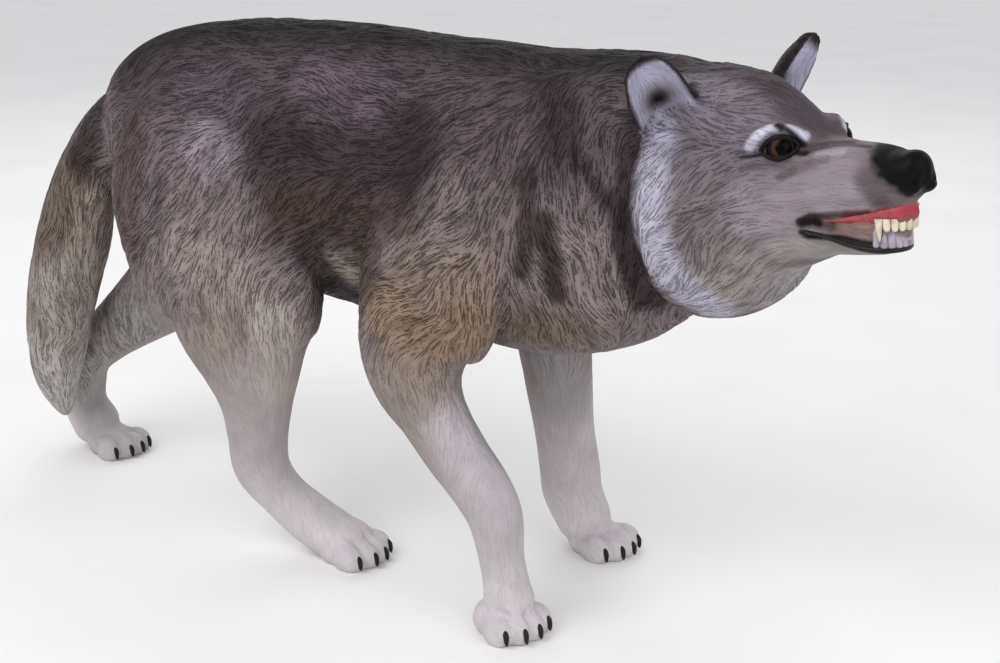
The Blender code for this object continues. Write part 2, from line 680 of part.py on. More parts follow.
def on_flat_soles(data):
    """Cuts everything below the ground away, so that the four soles are flat and level."""
    mesh = bmesh.new()
    mesh.from_mesh(data)
    for vert in mesh.verts:
        if abs(vert.co.z) < SOLE_SNAP:
            vert.co.z = 0.0
    everything = mesh.verts[:] + mesh.edges[:] + mesh.faces[:]
    bmesh.ops.bisect_plane(
        mesh, geom=everything, dist=1e-6, plane_co=(0, 0, 0), plane_no=(0, 0, 1), clear_inner=True
    )
    edge = [item for item in mesh.edges if item.is_boundary]
    bmesh.ops.holes_fill(mesh, edges=edge, sides=0)
    bmesh.ops.triangulate(mesh, faces=mesh.faces)
    mesh.to_mesh(data)
    mesh.free()
    return data


def claws_and_teeth(frame):
    """The claws and the teeth, each a closed peg."""
    mesh = bmesh.new()
    for place, turn in PAWS:
        claws(mesh, place, turn)
    teeth(mesh, frame)
    data = bpy.data.meshes.new("claws_and_teeth")
    mesh.to_mesh(data)
    mesh.free()
    return data


def ground_middle(data):
    """The point on the ground under the middle of the mesh's box."""
    points = np.empty(len(data.vertices) * 3)
    data.vertices.foreach_get("co", points)
    points = points.reshape(-1, 3)
    middle = (points.min(axis=0) + points.max(axis=0)) / 2
    return Vector((middle[0], middle[1], 0.0))


def painted_casting():
    """The one material of the casting: a grey-brown washed coat under a satin varnish."""
    coat = bpy.data.materials.new("painted_casting")
    coat.use_nodes = True
    paint = coat.node_tree.nodes["Principled BSDF"]
    paint.inputs["Base Color"].default_value = COAT_COLOUR
    paint.inputs["Roughness"].default_value = COAT_ROUGHNESS
    paint.inputs["Metallic"].default_value = 0.0
    coat.diffuse_color = COAT_COLOUR
    return coat


def clear_start_up():
    """Removes whatever the scene holds at the start."""
    for item in list(bpy.data.objects):
        bpy.data.objects.remove(item)


def main():
    """Builds the casting as one closed body standing on the ground."""
    clear_start_up()
    frame = head_matrix()
    skin = on_flat_soles(thinned(creased(eased(fused(rough_forms()), frame), frame)))
    pegs = claws_and_teeth(frame)
    shift = Matrix.Translation(-ground_middle(skin))
    skin.transform(shift)
    pegs.transform(shift)

    parts = bpy.data.collections.new("wolf_figurine")
    joiners = bpy.data.collections.new("wolf_figurine_joined_forms")
    bpy.context.scene.collection.children.link(parts)
    bpy.context.scene.collection.children.link(joiners)
    joined = bpy.data.objects.new("claws_and_teeth", pegs)
    joined.hide_render = True
    joined.display_type = "WIRE"
    joiners.objects.link(joined)

    casting = bpy.data.objects.new(NODE_NAME, skin)
    parts.objects.link(casting)
    union = casting.modifiers.new("claws_and_teeth", "BOOLEAN")
    union.operation = "UNION"
    union.solver = "EXACT"
    union.object = joined
    skin.materials.clear()
    skin.materials.append(painted_casting())
    skin.polygons.foreach_set("use_smooth", [True] * len(skin.polygons))
    print("moved to the middle by", tuple(round(value, 6) for value in shift.translation))


if __name__ == "__main__":
    main()
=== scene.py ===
"""A life-size snarling wolf statue: carved coat, painted washes, glossy eyes, bared teeth.

The body's forms are the lofted sections of the casting, taken again at a finer pitch, and the coat
is carved and painted over them. Metres, +Z up, the nose along +X, the wolf's left side at +Y.
"""

import logging
import math
from dataclasses import dataclass, field
from enum import Enum

import bmesh
import bpy
import numpy as np
from mathutils import Matrix, Vector
from mathutils.bvhtree import BVHTree

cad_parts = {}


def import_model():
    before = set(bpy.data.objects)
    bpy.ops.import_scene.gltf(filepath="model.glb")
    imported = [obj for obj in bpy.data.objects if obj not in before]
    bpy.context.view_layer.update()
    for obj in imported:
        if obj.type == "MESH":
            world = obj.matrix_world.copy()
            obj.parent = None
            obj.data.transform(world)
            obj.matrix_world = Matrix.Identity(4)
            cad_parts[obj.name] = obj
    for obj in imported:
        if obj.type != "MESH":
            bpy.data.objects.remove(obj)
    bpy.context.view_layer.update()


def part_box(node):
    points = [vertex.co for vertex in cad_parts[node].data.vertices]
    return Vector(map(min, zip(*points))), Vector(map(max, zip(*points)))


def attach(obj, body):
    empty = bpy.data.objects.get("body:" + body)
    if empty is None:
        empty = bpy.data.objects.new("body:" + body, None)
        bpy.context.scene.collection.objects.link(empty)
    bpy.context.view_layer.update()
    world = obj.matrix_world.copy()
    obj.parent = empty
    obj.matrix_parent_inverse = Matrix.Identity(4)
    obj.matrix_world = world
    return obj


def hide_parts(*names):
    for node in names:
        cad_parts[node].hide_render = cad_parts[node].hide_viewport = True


LOG = logging.getLogger("wolf")
BODY = "root"
CASTING_NODE = "wolf_casting"
SHIFT = (-0.053778, 0.000159, 0.0)
MM = 0.001
NOISE_STEPS = (374761393, 668265263, 2147483647)
SEED_STEP = 974634777

Points = np.ndarray


class Slot(Enum):
    """The record's names for the finishes of the pieces."""

    COAT = "painted_coat"
    EYE = "glossy_eye"
    GUM = "painted_gum"
    TOOTH = "painted_tooth"
    BLACK = "black_paint"


def from_hex(code: str) -> tuple[float, float, float]:
    """A linear colour from a display colour.

    Args:
        code: Six hexadecimal digits.

    Returns:
        Red, green and blue in linear light.
    """
    parts = [int(code[index : index + 2], 16) / 255 for index in (0, 2, 4)]
    return tuple(part / 12.92 if part <= 0.04045 else ((part + 0.055) / 1.055) ** 2.4 for part in parts)


def smooth_run(rows: Points, steps: int) -> Points:
    """Rows of numbers with Catmull-Rom rows between them.

    Args:
        rows: The rows to pass through.
        steps: How many rows each stretch becomes.

    Returns:
        The denser rows.
    """
    rows = np.asarray(rows, float)
    padded = np.vstack([2 * rows[0] - rows[1], rows, 2 * rows[-1] - rows[-2]])
    run = []
    for index in range(len(rows) - 1):
        before, start, end, after = padded[index : index + 4]
        for step in range(steps):
            t = step / steps
            run.append(
                start
                + 0.5 * t * (end - before)
                + t * t * (before - 2.5 * start + 2 * end - 0.5 * after)
                + t**3 * (1.5 * start - 0.5 * before - 1.5 * end + 0.5 * after)
            )
    run.append(rows[-1])
    return np.array(run)


def bell(distance: Points, width: float) -> Points:
    """A soft hill: one at no distance and about a third at the width."""
    return np.exp(-((distance / width) ** 2))


def ramp(value: Points, low: float, high: float) -> Points:
    """A smooth step from zero at low to one at high."""
    share = np.clip((value - low) / (high - low), 0.0, 1.0)
    return share * share * (3 - 2 * share)


def value_noise(points: Points, seed: int) -> Points:
    """Smooth lattice noise between -1 and 1.

    Args:
        points: Places, one row each, in units of the lattice.
        seed: Chooses the pattern.

    Returns:
        One number for each place.
    """
    cell = np.floor(points).astype(np.int64)
    part = points - cell
    part = part * part * (3 - 2 * part)
    total = np.zeros(len(points))
    for corner in range(8):
        offset = np.array([corner & 1, corner >> 1 & 1, corner >> 2 & 1])
        place = cell + offset
        mixed = sum(place[:, axis] * NOISE_STEPS[axis] for axis in range(3)) + seed * SEED_STEP
        mixed = (mixed ^ (mixed >> 13)) * 1274126177
        mixed = (mixed ^ (mixed >> 16)) & 0xFFFFF
        weight = np.prod(np.where(offset == 1, part, 1 - part), axis=1)
        total += weight * mixed
    return total / 0x7FFFF - 1


def places_of(data: bpy.types.Mesh) -> Points:
    """Where the points of mesh data are, a row for each."""
    places = np.empty(len(data.vertices) * 3)
    data.vertices.foreach_get("co", places)
    return places.reshape(-1, 3)


def as_data(mesh: bmesh.types.BMesh, name: str) -> bpy.types.Mesh:
    """The finished mesh as data with a name."""
    data = bpy.data.meshes.new(name)
    mesh.to_mesh(data)
    mesh.free()
    return data


def turned_out(mesh: bmesh.types.BMesh, name: str) -> bpy.types.Mesh:
    """The finished mesh as data, with all its faces looking out."""
    bmesh.ops.recalc_face_normals(mesh, faces=mesh.faces)
    return as_data(mesh, name)


def join_loops(mesh: bmesh.types.BMesh, loops: list) -> None:
    """Joins loops of points into a closed tube.

    Args:
        mesh: Where the loops are.
        loops: The loops in their order, each of as many points.
    """
    for one, other in zip(loops, loops[1:]):
        for step in range(len(one)):
            ahead = (step + 1) % len(one)
            mesh.faces.new((one[step], one[ahead], other[ahead], other[step]))
    mesh.faces.new(loops[0][::-1])
    mesh.faces.new(loops[-1])


@dataclass(frozen=True)
class Ring:
    """One cross-section: its middle, its half width, its half height or depth, and its egg shape."""

    at: tuple[float, float, float]
    across: float
    deep: float
    egg: float = 0.0


@dataclass
class Clay:
    """Overlapping rounded forms that will be fused into one skin."""

    points_round: int = 56
    ball_levels: int = 30
    steps: int = 6
    cap_levels: tuple[float, ...] = (0.25, 0.45, 0.62, 0.76, 0.87, 0.95, 0.99)
    mesh: bmesh.types.BMesh = field(default_factory=bmesh.new)

    def capped(self, run: Points, cap: float) -> Points:
        """The run of sections with a rounded end at each side.

        Args:
            run: Middle, half sizes and egg shape of each section.
            cap: How far each end closes, as a share of its size.

        Returns:
            The run with its closing sections.
        """
        first, second, last, before = run[0], run[1], run[-1], run[-2]
        front, back = [], []
        for share in self.cap_levels:
            close = math.sqrt(1 - share * share)
            for end, inner, rows in ((first, second, front), (last, before, back)):
                way = end[:3] - inner[:3]
                way /= np.linalg.norm(way)
                row = end.copy()
                row[:3] += way * share * cap * 0.5 * (end[3] + end[4])
                row[3:5] *= close
                rows.append(row)
        return np.vstack([front[::-1], run, back])

    def loft(self, rings: tuple[Ring, ...], frame: Matrix | None = None, cap: float = 0.8) -> None:
        """Adds a closed tube through the rings.

        Args:
            rings: The sections, each square to the run.
            frame: The frame they are given in, if not the body's.
            cap: How round the ends are.
        """
        rows = [(*ring.at, ring.across, ring.deep, ring.egg) for ring in rings]
        run = self.capped(smooth_run(rows, self.steps), cap)
        ways = np.gradient(run[:, :3], axis=0)
        side = Vector((0.0, 1.0, 0.0))
        loops = []
        for row, way in zip(run, ways):
            along = Vector(way).normalized()
            across = (side - along * side.dot(along)).normalized()
            deep = along.cross(across)
            loop = []
            for step in range(self.points_round):
                angle = math.tau * step / self.points_round
                wide = row[3] * math.cos(angle) * (1 - row[5] * math.sin(angle))
                point = Vector(row[:3]) + across * wide + deep * (row[4] * math.sin(angle))
                loop.append(self.mesh.verts.new(frame @ point if frame else point))
            loops.append(loop)
        join_loops(self.mesh, loops)

    def ball(self, at: tuple, half_sizes: tuple, turn: float = 0.0, frame: Matrix | None = None) -> None:
        """Adds an ellipsoid.

        Args:
            at: Its middle.
            half_sizes: Along its own three ways.
            turn: How far it is turned about Z.
            frame: The frame it is given in, if not the body's.
        """
        place = Matrix.Translation(at) @ Matrix.Rotation(turn, 4, "Z") @ Matrix.Diagonal((*half_sizes, 1.0))
        place = frame @ place if frame else place
        loops = []
        for level in range(1, self.ball_levels):
            high = math.pi * level / self.ball_levels
            loop = []
            for step in range(self.points_round):
                angle = math.tau * step / self.points_round
                way = (math.sin(high) * math.cos(angle), math.sin(high) * math.sin(angle), math.cos(high))
                loop.append(self.mesh.verts.new(place @ Vector(way)))
            loops.append(loop)
        join_loops(self.mesh, loops)


@dataclass(frozen=True)
class Trunk:
    """The rump, the barrel, the shoulders and the neck, and the brush of the tail."""

    back_top: float = 0.757
    croup_top: float = 0.767
    withers_top: float = 0.75
    neck_top: float = 0.748
    belly: float = 0.372
    brisket: float = 0.358
    tail_root: tuple[float, float, float] = (-0.4, 0.0, 0.61)
    neck_folds: int = 4
    first_fold: float = 0.352
    fold_pitch: float = 0.034
    fold_width: float = 0.011
    fold_rise: float = -0.006

    def stations(self) -> tuple:
        """Along, top, bottom, half width, side shift and egg shape of each section."""
        return (
            (-0.45, self.croup_top - 0.113, 0.52, 0.058, 0.0, 0.0),
            (-0.415, self.croup_top - 0.063, 0.48, 0.078, 0.0, 0.0),
            (-0.36, self.croup_top - 0.031, 0.45, 0.09, 0.0, 0.0),
            (-0.29, self.croup_top - 0.013, 0.425, 0.098, 0.0, 0.0),
            (-0.2, self.croup_top - 0.002, 0.4, 0.106, 0.0, 0.02),
            (-0.11, self.croup_top + 0.001, 0.384, 0.112, 0.0, 0.05),
            (-0.01, self.back_top + 0.01, self.belly, 0.121, 0.0, 0.08),
            (0.09, self.back_top + 0.004, self.belly - 0.008, 0.13, 0.0, 0.08),
            (0.19, self.withers_top + 0.006, self.brisket - 0.004, 0.136, 0.0, 0.04),
            (0.28, self.withers_top + 0.002, self.brisket - 0.01, 0.142, 0.0, 0.0),
            (0.35, self.neck_top + 0.011, 0.367, 0.134, 0.0, 0.0),
            (0.41, self.neck_top + 0.014, 0.4, 0.12, 0.004, 0.02),
            (0.46, self.neck_top + 0.009, 0.43, 0.112, 0.002, 0.04),
            (0.51, self.neck_top, 0.451, 0.106, -0.012, 0.04),
        )

    def add(self, clay: Clay) -> None:
        """Adds the trunk and the tail to the clay."""
        rings = []
        for along, top, bottom, half, shift, egg in self.stations():
            rings.append(Ring((along, shift, (top + bottom) / 2), half, (top - bottom) / 2, egg))
        clay.loft(tuple(rings), cap=0.35)
        self.add_tail(clay)

    def add_tail(self, clay: Clay) -> None:
        """Adds the brush, hanging from the croup in one slow curve."""
        stations = (
            # back from the root, down from the root, half width, half depth
            (0.0, 0.0, 0.06, 0.058),
            (0.053, 0.022, 0.058, 0.059),
            (0.106, 0.068, 0.052, 0.056),
            (0.154, 0.135, 0.05, 0.056),
            (0.182, 0.205, 0.055, 0.061),
            (0.218, 0.3, 0.054, 0.058),
            (0.24, 0.39, 0.048, 0.052),
            (0.248, 0.455, 0.036, 0.039),
            (0.24, 0.5, 0.02, 0.021),
            (0.236, 0.52, 0.008, 0.009),
        )
        x, y, z = self.tail_root
        rings = tuple(Ring((x - back, y, z - down), half, deep) for back, down, half, deep in stations)
        clay.loft(rings, cap=0.5)

    def folds(self) -> list["Fold"]:
        """The furrows down both sides of the neck."""
        lines = []
        for side in (-1, 1):
            for step in range(self.neck_folds):
                x = self.first_fold + step * self.fold_pitch
                line = (
                    (x - 0.012, side * 0.07, 0.715), (x, side * 0.115, 0.64),
                    (x + 0.004, side * 0.13, 0.56), (x - 0.006, side * 0.11, 0.47),
                )
                lines.append(Fold(line, self.fold_width, self.fold_rise))
        return lines


@dataclass(frozen=True)
class Leg:
    """One leg: where its paw stands and how it is turned, and its sections from the paw's middle."""

    name: str
    place: tuple[float, float]
    turn: float
    sections: tuple

    def add(self, clay: Clay) -> None:
        """Adds the leg to the clay."""
        x, y = self.place
        clay.loft(tuple(
            Ring((x + ahead, y + left, up), across, deep) for ahead, left, up, across, deep in self.sections
        ))

    def frame(self) -> Matrix:
        """The paw's own frame, on the ground under its middle."""
        return Matrix.Translation((*self.place, 0.0)) @ Matrix.Rotation(self.turn, 4, "Z")


LEGS = (
    Leg("front_right", (0.296, -0.137), math.radians(-22), (
        # ahead, left and up of the paw's middle, half width, half depth
        (-0.097, 0.029, 0.59, 0.048, 0.084),
        (-0.112, 0.015, 0.5, 0.056, 0.106),
        (-0.124, 0.005, 0.425, 0.056, 0.104),
        (-0.139, -0.001, 0.37, 0.052, 0.085),
        (-0.13, -0.007, 0.325, 0.047, 0.067),
        (-0.104, -0.012, 0.285, 0.044, 0.047),
        (-0.071, -0.014, 0.243, 0.041, 0.042),
        (-0.031, -0.014, 0.198, 0.037, 0.04),
        (-0.014, -0.008, 0.16, 0.035, 0.037),
        (-0.008, -0.004, 0.108, 0.03, 0.031),
        (-0.002, -0.002, 0.072, 0.03, 0.031),
        (0.002, 0.0, 0.044, 0.034, 0.035),
    )),
    Leg("front_left", (0.287, 0.151), math.radians(-15), (
        (-0.079, -0.064, 0.57, 0.048, 0.08),
        (-0.083, -0.05, 0.48, 0.056, 0.086),
        (-0.071, -0.036, 0.39, 0.052, 0.068),
        (-0.065, -0.03, 0.32, 0.047, 0.056),
        (-0.059, -0.024, 0.25, 0.043, 0.05),
        (-0.052, -0.02, 0.185, 0.04, 0.045),
        (-0.048, -0.01, 0.125, 0.04, 0.046),
        (-0.046, -0.004, 0.085, 0.038, 0.046),
        (-0.027, -0.001, 0.043, 0.038, 0.042),
    )),
    Leg("hind_right", (-0.013, -0.06), math.radians(-2), (
        (-0.254, -0.021, 0.62, 0.058, 0.11),
        (-0.234, -0.033, 0.53, 0.07, 0.152),
        (-0.181, -0.041, 0.445, 0.07, 0.171),
        (-0.15, -0.045, 0.38, 0.064, 0.148),
        (-0.144, -0.045, 0.325, 0.056, 0.114),
        (-0.136, -0.043, 0.272, 0.048, 0.082),
        (-0.132, -0.041, 0.225, 0.042, 0.058),
        (-0.133, -0.039, 0.175, 0.038, 0.047),
        (-0.132, -0.034, 0.128, 0.036, 0.045),
        (-0.105, -0.022, 0.086, 0.034, 0.036),
        (-0.064, -0.011, 0.052, 0.035, 0.039),
        (-0.028, -0.003, 0.032, 0.038, 0.036),
        (0.004, 0.0, 0.03, 0.036, 0.026),
    )),
    Leg("hind_left", (-0.614, 0.088), math.radians(-6), (
        (0.297, -0.021, 0.56, 0.058, 0.116),
        (0.279, -0.015, 0.47, 0.066, 0.13),
        (0.226, -0.007, 0.385, 0.06, 0.098),
        (0.151, -0.003, 0.318, 0.051, 0.075),
        (0.076, -0.002, 0.262, 0.043, 0.058),
        (0.009, -0.003, 0.212, 0.037, 0.046),
        (-0.039, -0.006, 0.165, 0.033, 0.038),
        (-0.06, -0.001, 0.115, 0.032, 0.037),
        (-0.063, -0.001, 0.075, 0.033, 0.041),
        (-0.042, 0.0, 0.042, 0.037, 0.044),
    )),
)


@dataclass(frozen=True)
class Paw:
    """A paw of a pad and four toes, with a short black claw on each toe."""

    width: float = 0.1
    pad: tuple[float, float, float] = (0.04, 0.042, 0.029)
    pad_back: float = 0.01
    pad_height: float = 0.015
    toe: tuple[float, float, float] = (0.027, 0.018, 0.0225)
    toe_forward: float = 0.029
    outer_toe_back: float = 0.011
    toe_height: float = 0.014
    toe_count: int = 4
    splay: float = 0.16
    claw_ahead: float = 0.018
    claw_height: float = 0.0235
    claw_tip: float = 0.004
    claw_length: float = 0.0095
    claw_radius: float = 0.004
    parting_width: float = 0.0034
    parting_rise: float = -0.003

    def toes(self) -> list[tuple[float, float, float]]:
        """How far forward and to the side each toe's middle is, and how it is splayed."""
        places = []
        for toe in range(self.toe_count):
            share = 2 * toe / (self.toe_count - 1) - 1
            forward = self.toe_forward - self.outer_toe_back * (abs(share) > 0.5)
            places.append((forward, share * (self.width / 2 - self.toe[1]), share * self.splay))
        return places

    def add(self, clay: Clay, frame: Matrix) -> None:
        """Adds the pad and the toes to the clay."""
        clay.ball((-self.pad_back, 0.0, self.pad_height), self.pad, frame=frame)
        for forward, sideways, splay in self.toes():
            clay.ball((forward, sideways, self.toe_height), self.toe, splay, frame)

    def partings(self, frame: Matrix) -> list["Fold"]:
        """The creases between the toes, from their roots down to the ground."""
        lines = []
        toes = self.toes()
        for (ahead, side, _), (next_ahead, next_side, _) in zip(toes, toes[1:]):
            middle = (side + next_side) / 2
            front = min(ahead, next_ahead)
            places = ((-0.014, 0.04), (0.008, 0.034), (0.022, 0.01))
            run = tuple((front + forward, middle, up) for forward, up in places)
            lines.append(Fold(placed(frame, run), self.parting_width, self.parting_rise))
        return lines

    def claw_runs(self, frame: Matrix) -> list[list[Vector]]:
        """The middle line of each claw, from its root on the toe down to its tip."""
        runs = []
        for forward, sideways, splay in self.toes():
            way = Vector((math.cos(splay), math.sin(splay), 0.0))
            root = Vector((forward, sideways, self.claw_height)) + way * self.claw_ahead
            bend = root + way * (self.claw_length * 0.75) - Vector((0.0, 0.0, 0.006))
            tip = root + way * self.claw_length
            tip.z = self.claw_tip
            runs.append([frame @ root, frame @ bend, frame @ tip])
        return runs


@dataclass(frozen=True)
class Fold:
    """A furrow (rise below zero) or a ridge along a line of points."""

    line: tuple
    width: float
    rise: float


def placed(frame: Matrix, points: tuple, side: int = 1) -> tuple:
    """Points of a frame, mirrored for side -1, as points of the body."""
    return tuple(tuple(frame @ Vector((x, side * y, z))) for x, y, z in points)


@dataclass(frozen=True)
class Head:
    """The head in its own frame: x to the nose, y to the left, z up, from the middle of the skull."""

    at: tuple[float, float, float] = (0.543, -0.034, 0.638)
    yaw: float = math.radians(-27.8)
    pitch: float = math.radians(-4.5)
    roll: float = math.radians(2.6)
    nose_reach: float = 0.314
    eye: tuple[float, float, float] = (0.138, 0.042, 0.031)
    eye_radius: float = 0.016
    muzzle: float = 0.036
    ruff: float = 0.126
    ear_height: float = 0.088
    ear_half: float = 0.04
    ear_deep: float = 0.03
    ear_wall: float = 0.0085
    ear_round: float = 2.2
    ear_tip_share: float = 0.16
    ear_root: tuple[float, float, float] = (0.0, 0.088, 0.062)
    ear_tip: tuple[float, float, float] = (0.012, 0.134, 0.132)
    ear_opening: tuple[float, float, float] = (0.8, 0.55, 0.1)

    def frame(self) -> Matrix:
        """The head's frame in the body's."""
        turn = (
            Matrix.Rotation(self.yaw, 4, "Z")
            @ Matrix.Rotation(self.pitch, 4, "Y")
            @ Matrix.Rotation(self.roll, 4, "X")
        )
        return Matrix.Translation(self.at) @ turn

    def add(self, clay: Clay) -> None:
        """Adds the skull, the muzzle, the jaw, the brows and the ears to the clay."""
        frame = self.frame()
        self.add_skull(clay, frame)
        for side in (-1, 1):
            self.add_brow(clay, frame, side)
            self.add_ear(clay, frame, side)

    def add_skull(self, clay: Clay, frame: Matrix) -> None:
        """Adds the cranium with its ruff, the muzzle, the lower jaw and what lies between the lips."""
        ruff, muzzle, reach = self.ruff, self.muzzle, self.nose_reach
        stations = (
            # forward, top, bottom, half width, egg
            (-0.06, 0.108, -0.19, ruff - 0.016, 0.06),
            (-0.034, 0.117, -0.197, ruff, 0.08),
            (0.01, 0.12, -0.18, ruff - 0.01, 0.12),
            (0.05, 0.113, -0.157, ruff - 0.026, 0.14),
            (0.09, 0.094, -0.134, ruff - 0.044, 0.12),
            (0.128, 0.068, -0.111, ruff - 0.063, 0.06),
            (0.16, 0.048, -0.095, ruff - 0.078, 0.0),
        )
        rings = []
        for forward, top, bottom, half, egg in stations:
            rings.append(Ring((forward, 0.0, (top + bottom) / 2), half, (top - bottom) / 2, egg))
        clay.loft(tuple(rings), frame, cap=0.25)
        clay.loft((
            Ring((0.12, 0.0, -0.002), muzzle + 0.014, 0.052),
            Ring((0.165, 0.0, -0.001), muzzle + 0.009, 0.046, 0.1),
            Ring((0.205, 0.0, 0.001), muzzle + 0.004, 0.0395, 0.1),
            Ring((0.245, 0.0, 0.003), muzzle + 0.001, 0.0365, 0.08),
            Ring((0.275, 0.0, 0.006), muzzle - 0.002, 0.031, 0.05),
            Ring((reach - 0.03, 0.0, 0.01), muzzle - 0.006, 0.026, 0.0),
            Ring((reach - 0.016, 0.0, 0.013), muzzle - 0.012, 0.021, 0.0),
        ), frame, cap=0.45)
        clay.loft((
            Ring((0.1, 0.0, -0.088), muzzle + 0.02, 0.034),
            Ring((0.14, 0.0, -0.08), muzzle + 0.009, 0.026),
            Ring((0.18, 0.0, -0.072), muzzle + 0.002, 0.0185),
            Ring((0.225, 0.0, -0.07), muzzle - 0.002, 0.014),
            Ring((0.255, 0.0, -0.0695), muzzle - 0.007, 0.0105),
            Ring((0.27, 0.0, -0.067), muzzle - 0.014, 0.0085),
        ), frame, cap=0.45)
        clay.loft((
            Ring((0.13, 0.0, -0.045), muzzle - 0.004, 0.034),
            Ring((0.2, 0.0, -0.044), muzzle - 0.006, 0.026),
            Ring((0.245, 0.0, -0.041), muzzle - 0.007, 0.028),
            Ring((0.272, 0.0, -0.038), muzzle - 0.011, 0.028),
            Ring((0.286, 0.0, -0.035), muzzle - 0.018, 0.024),
        ), frame, cap=0.35)
        clay.ball((reach - 0.018, 0.0, 0.0155), (0.018, 0.0215, 0.0215), frame=frame)
        for side in (-1, 1):
            clay.ball((reach - 0.013, side * 0.011, 0.002), (0.014, 0.012, 0.013), frame=frame)

    def add_brow(self, clay: Clay, frame: Matrix, side: int) -> None:
        """Adds one side's eyeball, the heavy brow over it and the cheekbone below.

        Args:
            clay: Where they go.
            frame: The head's frame.
            side: One for the left, less one for the right.
        """
        forward, spread, height = self.eye
        radius = self.eye_radius
        clay.ball((forward, side * spread, height), (radius, radius * 0.98, radius * 0.92), frame=frame)
        clay.loft((
            Ring((forward - 0.052, side * (spread + 0.014), height + 0.003), 0.012, 0.012),
            Ring((forward - 0.02, side * (spread + 0.004), height + 0.014), 0.014, 0.012),
            Ring((forward + 0.008, side * (spread - 0.009), height + 0.016), 0.012, 0.011),
            Ring((forward + 0.025, side * (spread - 0.023), height + 0.008), 0.011, 0.01),
        ), frame)
        clay.loft((
            Ring((forward - 0.06, side * (spread + 0.022), height - 0.022), 0.016, 0.018),
            Ring((forward - 0.016, side * (spread + 0.005), height - 0.028), 0.014, 0.014),
            Ring((forward + 0.026, side * (spread - 0.016), height - 0.018), 0.011, 0.011),
        ), frame)

    def ear_axes(self, side: int) -> tuple[Vector, Vector, Vector, Vector]:
        """One ear's root and its ways along, out of its opening and across."""
        root = Vector((self.ear_root[0], side * self.ear_root[1], self.ear_root[2]))
        tip = Vector((self.ear_tip[0], side * self.ear_tip[1], self.ear_tip[2]))
        along = (tip - root).normalized()
        opening = Vector((self.ear_opening[0], side * self.ear_opening[1], self.ear_opening[2]))
        opening = (opening - along * opening.dot(along)).normalized()
        return root, along, opening, opening.cross(along)

    def ear_taper(self, share: Points) -> Points:
        """How wide an ear still is, from one at its foot to zero, at a share of its height."""
        return np.sqrt(np.clip(1 - np.clip(share, 0, 1) ** self.ear_round, 0, 1))

    def ear_half_at(self, share: Points) -> Points:
        """The half width of an ear at a share of its height."""
        return self.ear_half * (self.ear_tip_share + (1 - self.ear_tip_share) * self.ear_taper(share))

    def add_ear(self, clay: Clay, frame: Matrix, side: int) -> None:
        """Adds a cupped ear: a shell with a thick rim that opens forward and outward.

        Args:
            clay: Where it goes.
            frame: The head's frame.
            side: One for the left, less one for the right.
        """
        root, along, opening, across = self.ear_axes(side)
        outer_points, inner_points, levels = 25, 19, 16
        loops = []
        for step in range(levels + 1):
            share = -0.12 + 1.12 * step / levels
            half = float(self.ear_half_at(share))
            deep = self.ear_deep * (0.22 + 0.78 * float(self.ear_taper(share)))
            wall = min(self.ear_wall, half * 0.55, deep * 0.8)
            middle = root + along * (share * self.ear_height)
            loop = []
            for index in range(outer_points):
                angle = math.pi * index / (outer_points - 1)
                loop.append(middle + across * (half * math.cos(angle)) - opening * (deep * math.sin(angle)))
            for index in range(inner_points):
                angle = math.pi * (inner_points - 1 - index) / (inner_points - 1)
                hollow = (deep - wall) * math.sin(angle) - 0.0015
                loop.append(middle + across * ((half - wall) * math.cos(angle)) - opening * hollow)
            loops.append([clay.mesh.verts.new(frame @ point) for point in loop])
        join_loops(clay.mesh, loops)

    def folds(self) -> list[Fold]:
        """The wrinkles of the brow, of the muzzle and under the eye, and the parting of the crown."""
        frame = self.frame()
        wrinkles = (
            # the furrow between the brows, the snarl's wrinkles, the line under the eye, behind it
            (((0.139, 0.045, 0.057), (0.151, 0.04, 0.044), (0.161, 0.033, 0.031)), 0.004, -0.004),
            (((0.163, 0.036, 0.028), (0.186, 0.021, 0.035), (0.214, 0.012, 0.039), (0.245, 0.012, 0.038)),
             0.0038, -0.0036),
            (((0.165, 0.04, 0.02), (0.19, 0.03, 0.027), (0.222, 0.022, 0.033)), 0.0034, 0.0024),
            (((0.146, 0.052, 0.0), (0.161, 0.043, 0.01), (0.186, 0.032, 0.018), (0.223, 0.026, 0.027)),
             0.0055, -0.0036),
            (((0.16, 0.048, -0.006), (0.195, 0.04, 0.006), (0.235, 0.034, 0.016)), 0.007, 0.0022),
            (((0.15, 0.05, 0.014), (0.12, 0.066, 0.01), (0.08, 0.084, 0.012)), 0.0065, -0.0022),
            (((0.118, 0.056, 0.026), (0.096, 0.066, 0.024), (0.08, 0.074, 0.022)), 0.004, -0.003),
            (((0.1, 0.062, 0.034), (0.12, 0.056, 0.048), (0.136, 0.047, 0.057)), 0.0075, 0.002),
            (((0.16, 0.04, -0.066), (0.205, 0.036, -0.062), (0.262, 0.024, -0.06)), 0.0036, 0.0014),
            (((0.156, 0.043, -0.044), (0.205, 0.036, -0.036), (0.262, 0.03, -0.028)), 0.004, 0.002),
        )
        lines = []
        for side in (-1, 1):
            for points, width, rise in wrinkles:
                lines.append(Fold(placed(frame, points, side), width, rise))
        crown = ((0.03, 0.0, 0.116), (0.08, 0.0, 0.102), (0.12, 0.0, 0.082), (0.16, 0.0, 0.05))
        lines.append(Fold(placed(frame, crown), 0.009, -0.003))
        septum = ((0.326, 0.0, 0.03), (0.334, 0.0, 0.01), (0.328, 0.0, -0.012))
        lines.append(Fold(placed(frame, septum), 0.0028, -0.0022))
        return lines

